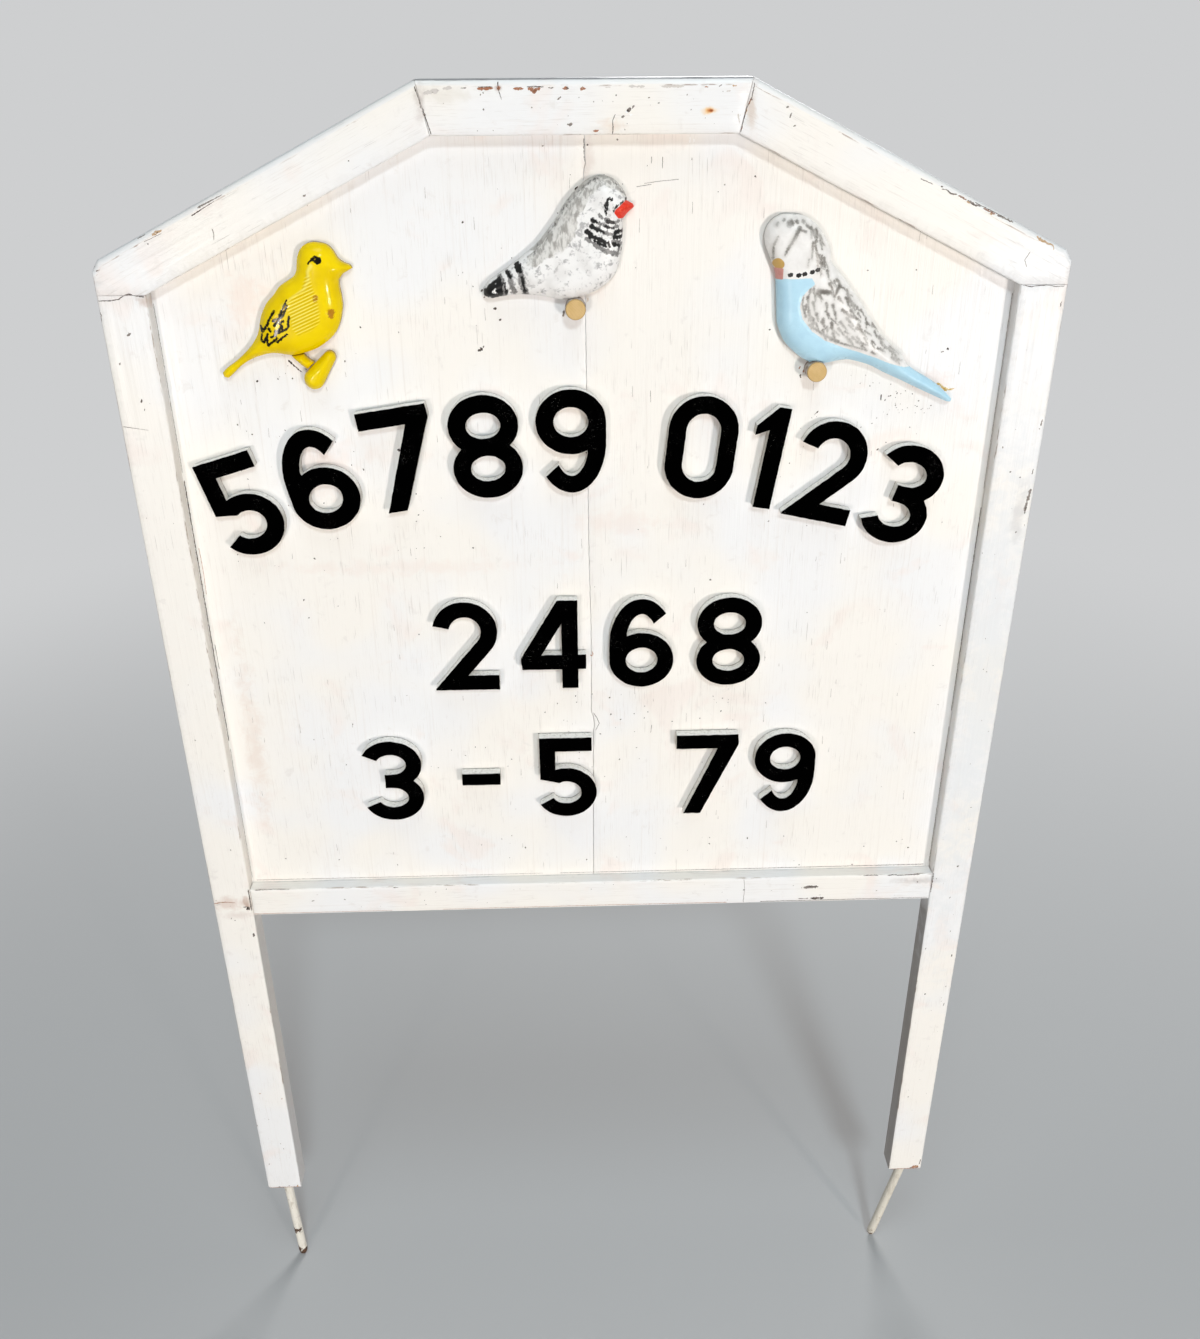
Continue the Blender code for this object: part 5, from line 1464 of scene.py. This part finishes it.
def mark_guide(marks):
    """A chain of points for each mark, with a width and a tone. A row of up to six numbers is a spot."""
    chains, widths, tones = [], [], []
    for *line, first, last, tone in (spot(*row) if len(row) < 7 else row for row in marks):
        line = np.reshape(line, (-1, 2))
        reach = np.concatenate(([0], np.cumsum(np.linalg.norm(np.diff(line, axis=0), axis=1))))
        share = np.linspace(0, 1, max(FEWEST_POINTS, int(reach[-1] / POINT_EVERY)))
        x, z = (np.interp(share * reach[-1], reach, column) / 1000 for column in line.T)
        chains.append(np.column_stack((x, np.full(len(x), GUIDE_DEPTH), z)))
        blunt = np.maximum(2, reach[-1] / max(first, last))
        taper = np.sqrt(np.maximum(1 - np.abs(2 * share - 1) ** blunt, END_WIDTH))
        widths.append((first + (last - first) * share) * taper / 1000)
        tones.append(np.full(len(x), tone))
    return guide_mesh(chains, width=widths, tone=tones)


# %% Where the frame is marked
FRAME_MARKS = [
    (-146.2, 1354.5, -142.9, 1345, -140.8, 1338, -137.4, 1327, -134.1, 1316.4, 0.9, 0.7, DARK),
    (-142.8, 1344, -140.6, 1336, -138.6, 1331, 1.4, 2.6, GREY),
    (147, 1355.5, 144.8, 1343.7, 140.8, 1335.2, 136.4, 1316.2, 0.7, 0.7, DARK),
    (144.6, 1343, 142.4, 1338, 1.3, 0.8, BROWN), (138.6, 1327, 136.8, 1318, 0.9, 1.3, BROWN),
    (141.4, 1336, 139.4, 1330, 0.8, 1.2, TAN), (133.6, 1331, 135.2, 1323, 1.4, 0.8, FAINT),
    (-74.3, 1357.6, -74.3, 1352.3, -73.2, 1348, -71.7, 1343.4, 0.9, 0.4, DARK),
    (-74, 1352.4, 3.4, 2.6, 80, BROWN),
    (26.4, 1331.6, 24.2, 1326.5, 24.4, 1321, 23.9, 1315.2, 0.5, 0.8, DARK),
    (-449.5, 1179.3, -437, 1179.5, -429.8, 1180.6, -425.8, 1183.5, -419.7, 1185.2, -415.3, 1183.8, -406,
     1182.4, 0.7, 1.1, DARK),
    (404.8, 1184.3, 415.8, 1181.9, 417.6, 1182.8, 431, 1183.5, 437.9, 1182.1, 447, 1182.4, 0.7, 0.5, DARK),
    (-412.4, 1230.9, -406.1, 1234.1, 2.2, 1.6, BROWN), (-389.9, 1236.2, -380.1, 1240.4, 3, 2.2, TAN),
    (-404, 1233, -396, 1236.6, 0.8, 0.6, GREY), (-398, 1230.4, -381, 1237.5, 0.5, 0.4, GREY),
    (-352, 1252, -330, 1264, 1, 0.4, DARK), (-346, 1258.5, -322, 1269.5, 1.6, 0.5, GREY),
    (-335.5, 1241, -334.5, 1236, -335.5, 1231, 0.8, 0.4, GREY),
    (-146.3, 1304.6, -155.3, 1301.6, -160.2, 1297.9, 0.8, 0.4, BROWN), (-446.8, 1210.2, 3, 1.6, 70),
    (-444.6, 1206, 2.6, 1.2, 20, GREY), (-409.2, 1232.5, 2.4, 1.4), (-394.6, 1228.6, 1.4, 1),
    (-385, 1238.3, 2, 1.2), (-208, 1296, 1.2, 1), (-226, 1324, 2.6, 1.4, 30),
    (-250, 1268, 3, 1.4, 30, GREY), (319.9, 1268, 325, 1267.4, 329, 1264, 335, 1263.4, 0.9, 1.2, GREY),
    (336, 1262.6, 344, 1258.6, 1.2, 1.8, (GREY + BROWN) / 2), (326, 1266, 331, 1263.6, 0.8, 0.6, DARK),
    (345, 1258.6, 352, 1254.4, 358, 1253, 2, 1, GREY), (348, 1256, 354, 1253, 0.9, 0.7, DARK),
    (360, 1251.6, 372, 1246.2, 1.2, 1.6, (GREY + BROWN) / 2), (374, 1245.6, 390, 1239, 1.4, 1.8, GREY),
    (352, 1256.4, 366, 1250.2, 382, 1243, 0.6, 0.5, DARK), (346, 1256.6, 4, 1.2, -28, TAN),
    (368, 1246.6, 3, 1.2, -20, TAN),
    (413.3, 1226.6, 418.6, 1223, 429.9, 1218.4, 431, 1214.8, 2.4, 1.2, TAN),
    (300, 1277, 312, 1272, 1, 0.6, GREY),
    (409.3, 1213.3, 406, 1207.4, 405.3, 1205.7, 408.1, 1199.8, 0.6, 0.6, GREY), (320.2, 1270.2, 2, 1.4),
    (176.4, 1335.9, 2.4, 1.6, 40, GREY), (179.7, 1329.4, 4.6, 1.2, 70, GREY),
    (183.6, 1320.8, 2.6, 1.4, 20, GREY), (-85.6, 1352.2, 14, 2, 2, BROWN), (-104, 1352.8, 5, 0.9, 2, GREY),
    (-57, 1352, 9, 2, 0, BROWN), (-49, 1352.4, -43, 1350.6, -38, 1352.4, 2.6, 2.6, BROWN),
    (-43, 1349.8, 4.6, 3, 20, BROWN), (-50, 1353.4, -35, 1353.2, 0.7, 0.7, DARK),
    (-92, 1353.4, -79, 1353.6, 0.6, 0.6, DARK), (-16.5, 1351.6, 5.5, 2.4, 0, BROWN),
    (-14.9, 1351.9, 2.8, 1.8, 0, DARK), (-1.4, 1351.6, 5, 2.8, 0, BROWN), (20, 1352.6, 5, 0.7, 0, FAINT),
    (105.2, 1352.2, 3.4, 1.2, 0, BROWN), (117.3, 1353, 3, 1.2, 30, GREY), (129.5, 1353, 4, 1.2, 0, TAN),
    (124.6, 1349, 4, 1.2, 10, FAINT), (-29, 1352.4, 5, 0.9, 0, GREY), (45, 1353, 14, 1.6, 0, FAINT),
    (76, 1352.8, 20, 1.8, 0, FAINT), (-118, 1352.8, 8, 2.4, 2, FAINT), (-132, 1350, 14, 3, 10, FAINT),
    (38.3, 1334.6, 4.4, 2.6, 30, GREY), (37.4, 1334, 2.4, 1.2, 20, DARK), (39.6, 1335.6, 1.6, 1, 0, DARK),
    (33.1, 1329.4, 3, 1.8, 30, GREY), (42, 1337, 3.4, 1.2, 50, GREY), (36, 1333, 3, 1.4, -20, PALE),
    (40, 1331, 3, 1.6, 0, PALE), (-22.2, 1344.2, 4.4, 1.6, 30, GREY), (-13.3, 1323.7, 5, 2, 10, GREY),
    (9.4, 1318.4, 5, 1.8, 0, BROWN), (-87.7, 1336, 1.4, 1.2), (55.6, 1344.1, 1.8, 1, 0, GREY),
    (64, 1340, 2, 1, 30, GREY), (-450, 1172, -449.2, 1160, 1.6, 1, GREY), (-448.6, 1166, 3, 1.6, 80, GREY),
    (-425.9, 1086.6, 4, 1.2, 78), (-426.4, 1148.9, 5, 2, 30, GREY), (-424.5, 1078, 2.4, 0.8, 80),
    (-439.7, 1121.9, 3, 1.2, 60, GREY), (-448, 1062, -436, 1060, -424, 1058, 0.7, 0.3, GREY),
    (-449, 487.6, -436, 489.6, -424, 488, 1.2, 0.6, BROWN), (-444.5, 486, 6, 1.6, 10, FAINT),
    (-440, 489, 5, 1.2, 0, TAN), (-410.4, 479.5, 5.4, 4.6, 40), (-413.6, 481.5, 4, 2, 10, GREY),
    (-409.2, 439.1, 6, 2.8, 80), (-432, 465, 2.4, 1.2, 60, GREY), (-428, 462, 1.8, 1, 20, GREY),
    (-406.2, 507, -406.4, 476, 1.3, 1, DARK), (445, 972.8, 24, 2.2, 84, GREY),
    (444.4, 962, 8, 1.2, 80, DARK), (422.8, 1002.9, 1.8, 1.2), (433.5, 996.8, 1.6, 1),
    (438.5, 938.2, 2, 1.2, 50), (446.2, 1052.6, 7, 1.2, 85, GREY), (445.4, 1002.6, 6, 1, 85, GREY),
    (433.8, 516.4, 2.8, 2, 30), (427, 780, 1.6, 1, 40, GREY), (405.6, 507, 405.4, 478, 1.6, 1.1, DARK),
    (446, 1166, 5, 1, 85, GREY), (438, 600, 2, 1, 20, GREY), (430, 470, 3, 1, 50, GREY),
    (321.8, 505.4, 332, 505.9, 339.7, 505.3, 0.5, 0.5, DARK),
    (350.7, 504.9, 359.9, 505.8, 363.5, 504.9, 389.8, 505.6, 0.6, 0.9, DARK),
    (179, 504.7, 180.4, 490, 179.6, 470.5, 0.4, 0.6, GREY), (179.8, 489.1, 2.4, 1.6),
    (387.9, 494.8, 2, 1.4), (260.1, 490.9, 18, 3.4, 2, GREY), (262, 492, 10, 1.2, 4, DARK),
    (268.6, 474.2, 16, 2.6, 0, DARK), (252, 474, 12, 1.2, 0, GREY), (-332.6, 488, 4, 1.2, 20, GREY),
    (-233.6, 504.6, 6, 1, 0, GREY), (-399, 505.4, -378, 505.9, -358, 505.3, 0.7, 0.5, GREY),
    (-404, 471, -240, 471.4, 0.5, 0.3, BROWN), (-180, 471.2, 20, 471.6, 160, 471.2, 0.3, 0.6, BROWN),
    (200, 471.2, 403, 471.4, 0.8, 0.4, DARK), (-448.6, 0.9, -430, 1.4, -406.8, 1.2, 0.9, 1.3, BROWN),
    (-434.3, 2.2, 2.4, 1.4), (-421, 4, 2, 1.2, 20, GREY), (-410, 3, 5, 2, 60, TAN),
    (440.5, 4.6, 10, 5.4, 22, BROWN), (442, 5.4, 7, 3, 26, TAN), (444, 3.2, 5, 1.6, 10, DARK),
    (436, 3.4, 5, 1.4, 20, GREY), (414.4, 1.2, 4, 1.4, 0, DARK),
    (407, 1, 425, 1.4, 448, 1, 1.1, 1.4, BROWN), (447, 14, 10, 1.4, 84, GREY), (-448, 120, 3, 1, 80, GREY),
    (-410, 168, 2.4, 1.2, 60, BROWN), (-437, 178, 3, 1.4, 10, TAN), (410, 392, 3, 1, 60, GREY),
    (418, 318, 2, 1.4, 10), (444, 380, 4, 1, 84, DARK), (444, 300, 5, 1, 84, GREY), (443, 330, 2, 1, 80),
]
for seed, count, low, high, sizes in (
        (21, 26, (-150, 1318), (150, 1350), (0.4, 1.0)), (22, 30, (-448, 20), (-408, 1170), (0.4, 1.1)),
        (23, 34, (408, 20), (447, 1170), (0.4, 1.2)), (24, 30, (-400, 473), (400, 505), (0.4, 1.1))):
    FRAME_MARKS += specks(seed, count, low, high, sizes, GREY)
print(len(FRAME_MARKS), "marks on the frame")

# %% Where the panel is marked
PANEL_MARKS = [
    (2.2, 727, 6.2, 720.5, 8.8, 713, 6, 707, 4.6, 704, 0.5, 0.4, DARK),
    (-0.9, 1312, -0.8, 1300, -0.2, 1291, 0.9, 0.6, DARK), (1.2, 799.3, 8, 2.2, 84, BROWN),
    (2.2, 1306.1, 1.8, 1.4), (-37.3, 1306, 1.8, 1.4, 0, GREY), (29, 1310.3, 1.8, 1.2, 0, GREY),
    (93.7, 1309.4, 5, 1.4, 88, PALE), (97, 1309, 3, 1.6, 80, PALE), (59.7, 1293.3, 6, 0.6, 90, GREY),
    (69.5, 1291, 10, 0.6, 90, GREY), (95.9, 1293.8, 2.4, 0.8, 90, GREY), (153.6, 1278.7, 1.6, 1.4),
    (126.2, 1272, 1.2, 1), (120.6, 1266, 1, 0.8), (-78, 1192, 2, 1.8), (-102.4, 1127.2, 5.4, 3.4, 20),
    (-99, 1130, 2.4, 1.2, 60), (-188, 1030, 3.8, 3.2), (-268, 976, 1.2, 1.2), (-86.5, 1165.5, 3.4, 2, 20),
    (-82, 1155, 2.8, 1.6, 40), (127.1, 884.5, 2.4, 1.6), (20.3, 745.3, 1.8, 1.4), (21.7, 724.3, 1.6, 1.6),
    (32.6, 717.5, 2, 1.2), (47.6, 724.5, 1.2, 1), (63.2, 726.3, 1.6, 1), (90.4, 713.6, 1.6, 1.2),
    (50.7, 680.6, 1.6, 1.4), (157.5, 777.7, 1.4, 1.2), (48.2, 701.4, 1.2, 1), (376.4, 533.6, 2.4, 1.6),
    (361.4, 543, 1.6, 1.2), (247.1, 512, 1.6, 1.2), (311.2, 511, 2.4, 1.2),
    (53, 1273.7, 68.5, 1275.7, 84.6, 1277, 0.4, 0.5, GREY), (46, 1271, 60, 1273, 0.6, 0.4, GREY),
    (67.6, 710.1, 66.4, 699.4, 0.6, 0.4, GREY), (349, 1122, 2.2, 2), (344, 1119.5, 3, 1, 20, GREY),
    (264, 1196, 1.8, 1.4), (310, 1196, 1.4, 1.2), (288.4, 1079, 288.8, 1072.5, 1, 0.8, DARK),
    (226.6, 1062, 3.2, 1, 50), (224.6, 1060, 2, 0.8, 50), (-232, 1118, 2.2, 1.2, 80), (-318, 1100, 2, 1.8),
    (-286, 1120, -279, 1112.5, -274, 1108, 1.6, 1.2, DARK), (-272, 1103, 2.2, 1.6, 40),
    (-330, 1048, 1.6, 1.4), (-259, 1096, 1.6, 1.2), (-404.2, 1174, -404.2, 1010, 0.6, 0.5, GREY),
    (-404, 1002, -404.2, 800, -404, 700, 1, 0.8, DARK), (-404.2, 690, -404.2, 512, 0.5, 0.4, GREY),
    (-400.8, 930, -400.4, 905, -401.2, 878, 0.5, 0.4, BROWN), (-401.4, 820, -401, 790, 0.5, 0.4, DARK),
    (404.2, 1174, 404.2, 980, 0.5, 0.4, GREY), (404.2, 960, 404.2, 720, 0.7, 0.5, DARK),
    (404.2, 700, 404.2, 512, 0.5, 0.6, GREY), (-400, 508.6, -250, 508.4, -60, 508.8, 0.7, 0.4, GREY),
    (-40, 508.6, 180, 508.4, 398, 508.8, 0.4, 0.8, DARK), (211, 1104, 6, 2.2, 60, BROWN),
    (207.6, 1098, 4, 2, 80, DARK), (206, 1106, 3, 1.4, 70, BROWN), (-22, 1160, 6, 1.8, 75, GREY),
    (0.5, 1172, 5, 2.4, 70, (PALE + TAN) / 2), (-98, 1182, 3, 1.6, 40), (-96, 1176, 1.8, 1.2),
    (-18, 1247, 1.2, 1), (-7, 1272, -9.6, 1268.4, 1.6, 1.2, DARK), (-12, 1265, -15, 1260, 1.2, 0.8, DARK),
]
for low, high, count in (
        ((-300, 1096), (-240, 1128), 16), ((292, 1058), (350, 1086), 34), ((250, 1084), (300, 1100), 10),
        ((-380, 900), (-120, 1060), 34), ((-60, 700), (160, 760), 26), ((-380, 516), (390, 560), 26),
        ((60, 960), (330, 1060), 26), ((-200, 640), (240, 700), 22), ((-390, 560), (390, 1160), 60),
        ((-130, 1170), (60, 1300), 18)):
    PANEL_MARKS += specks(len(PANEL_MARKS), count, low, high)
chance = random.Random(8)
for _ in range(110):
    x, z, long = chance.uniform(-390, 390), chance.uniform(520, 1280), chance.uniform(3, 13)
    PANEL_MARKS.append((x, z, x + chance.uniform(-0.4, 0.4), z + long, 0.35, 0.2, GREY))
print(len(PANEL_MARKS), "marks on the panel")

# %% Marks
MARK_SIZES = {"Raggedness": 2.2, "Fineness": 620.0, "Lift": 0.00006, "Finish": mark_finish}
FRAME_STARTS = ("painted_top_rail", "painted_bottom_rail", "painted_stile", "painted_sloped_rail")
for name, starts, marks, slot in (("marks_on_frame", FRAME_STARTS, FRAME_MARKS, "frame_paint"),
                                  ("marks_on_panel", "painted_panel_board", PANEL_MARKS, "panel_paint")):
    # One throwaway mesh of all the marked pieces, for the rays to hit
    target = add_object("mark_surface", bpy.data.meshes.new("mark_surface"))
    with editing(target.data) as shape:
        for thing in bpy.data.objects:
            if thing.name.startswith(starts):
                shape.from_mesh(thing.data)
    laid = grow(name, mark_guide(marks), mark_tree, {"Surface": target, **MARK_SIZES})
    bpy.data.objects.remove(target)
    with editing(laid.data) as shape:
        bmesh.ops.reverse_faces(shape, faces=[face for face in shape.faces if face.normal.y > 0])
    dress(laid, slot)
    depths = places_of(laid)[:, 1] * 1000
    print("depth from", round(depths.min(), 2), "to", round(depths.max(), 2), "mm")

# %% [markdown]
# ## A squeeze of dried glue
# The budgerigar was glued on, and a little glue came out beside the tip of its tail and dried yellow. It
# is a thin uneven bead lying on the panel, so the bent bar's tree can grow it too: a short wandering line
# with its own width at each point, half sunk in the paint.

# %% Glue bead
GLUE_RADIUS, GLUE_PITTING, GLUE_POINTS = 0.0011, 0.0009, 40
# Each line is a row of places: X, Z and the bead's width there
GLUE_LINES = (
    ((341.6, 1087.6, 0.5), (343.4, 1088.6, 1.1), (345.6, 1087.8, 0.8), (347.4, 1086.2, 1),
     (349.6, 1084.4, 0.7), (351.8, 1083.8, 1.2), (354.4, 1082.6, 0.6), (357.6, 1082.9, 0.9),
     (360.4, 1083.8, 0.4)),
    ((345.2, 1085.2, 0.4), (347.6, 1084, 0.9), (350.4, 1082.2, 1), (353.2, 1081.6, 0.5)),
)
paint = Finish("dried_yellow_glue", Specular_IOR_Level=0.5)
tone = paint.noise(500)
colour = paint.layers((206, 168, 92), (tone.ramp(0.38, 0.62), (228, 204, 150)))
glue_finish = paint.finish(colour, tone.ramp(0.3, 0.7, 0.2, 0.45), tone, 0.0002, 0.5)

panel_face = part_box("panel_board_right")[0].y
chains, widths = [], []
for line in GLUE_LINES:
    x, z, width = (np.interp(np.linspace(0, len(line) - 1, GLUE_POINTS), np.arange(len(line)), column)
                   for column in np.array(line).T)
    chains.append(np.column_stack((x / 1000, np.full(len(x), panel_face), z / 1000)))
    widths.append(width)
glue = grow("dried_glue", guide_mesh(chains, width=widths), bar_tree,
            {"Radius": GLUE_RADIUS, "Pitting": GLUE_PITTING, "Finish": glue_finish})
glue.data.shade_smooth()
dress(glue, "panel_paint")
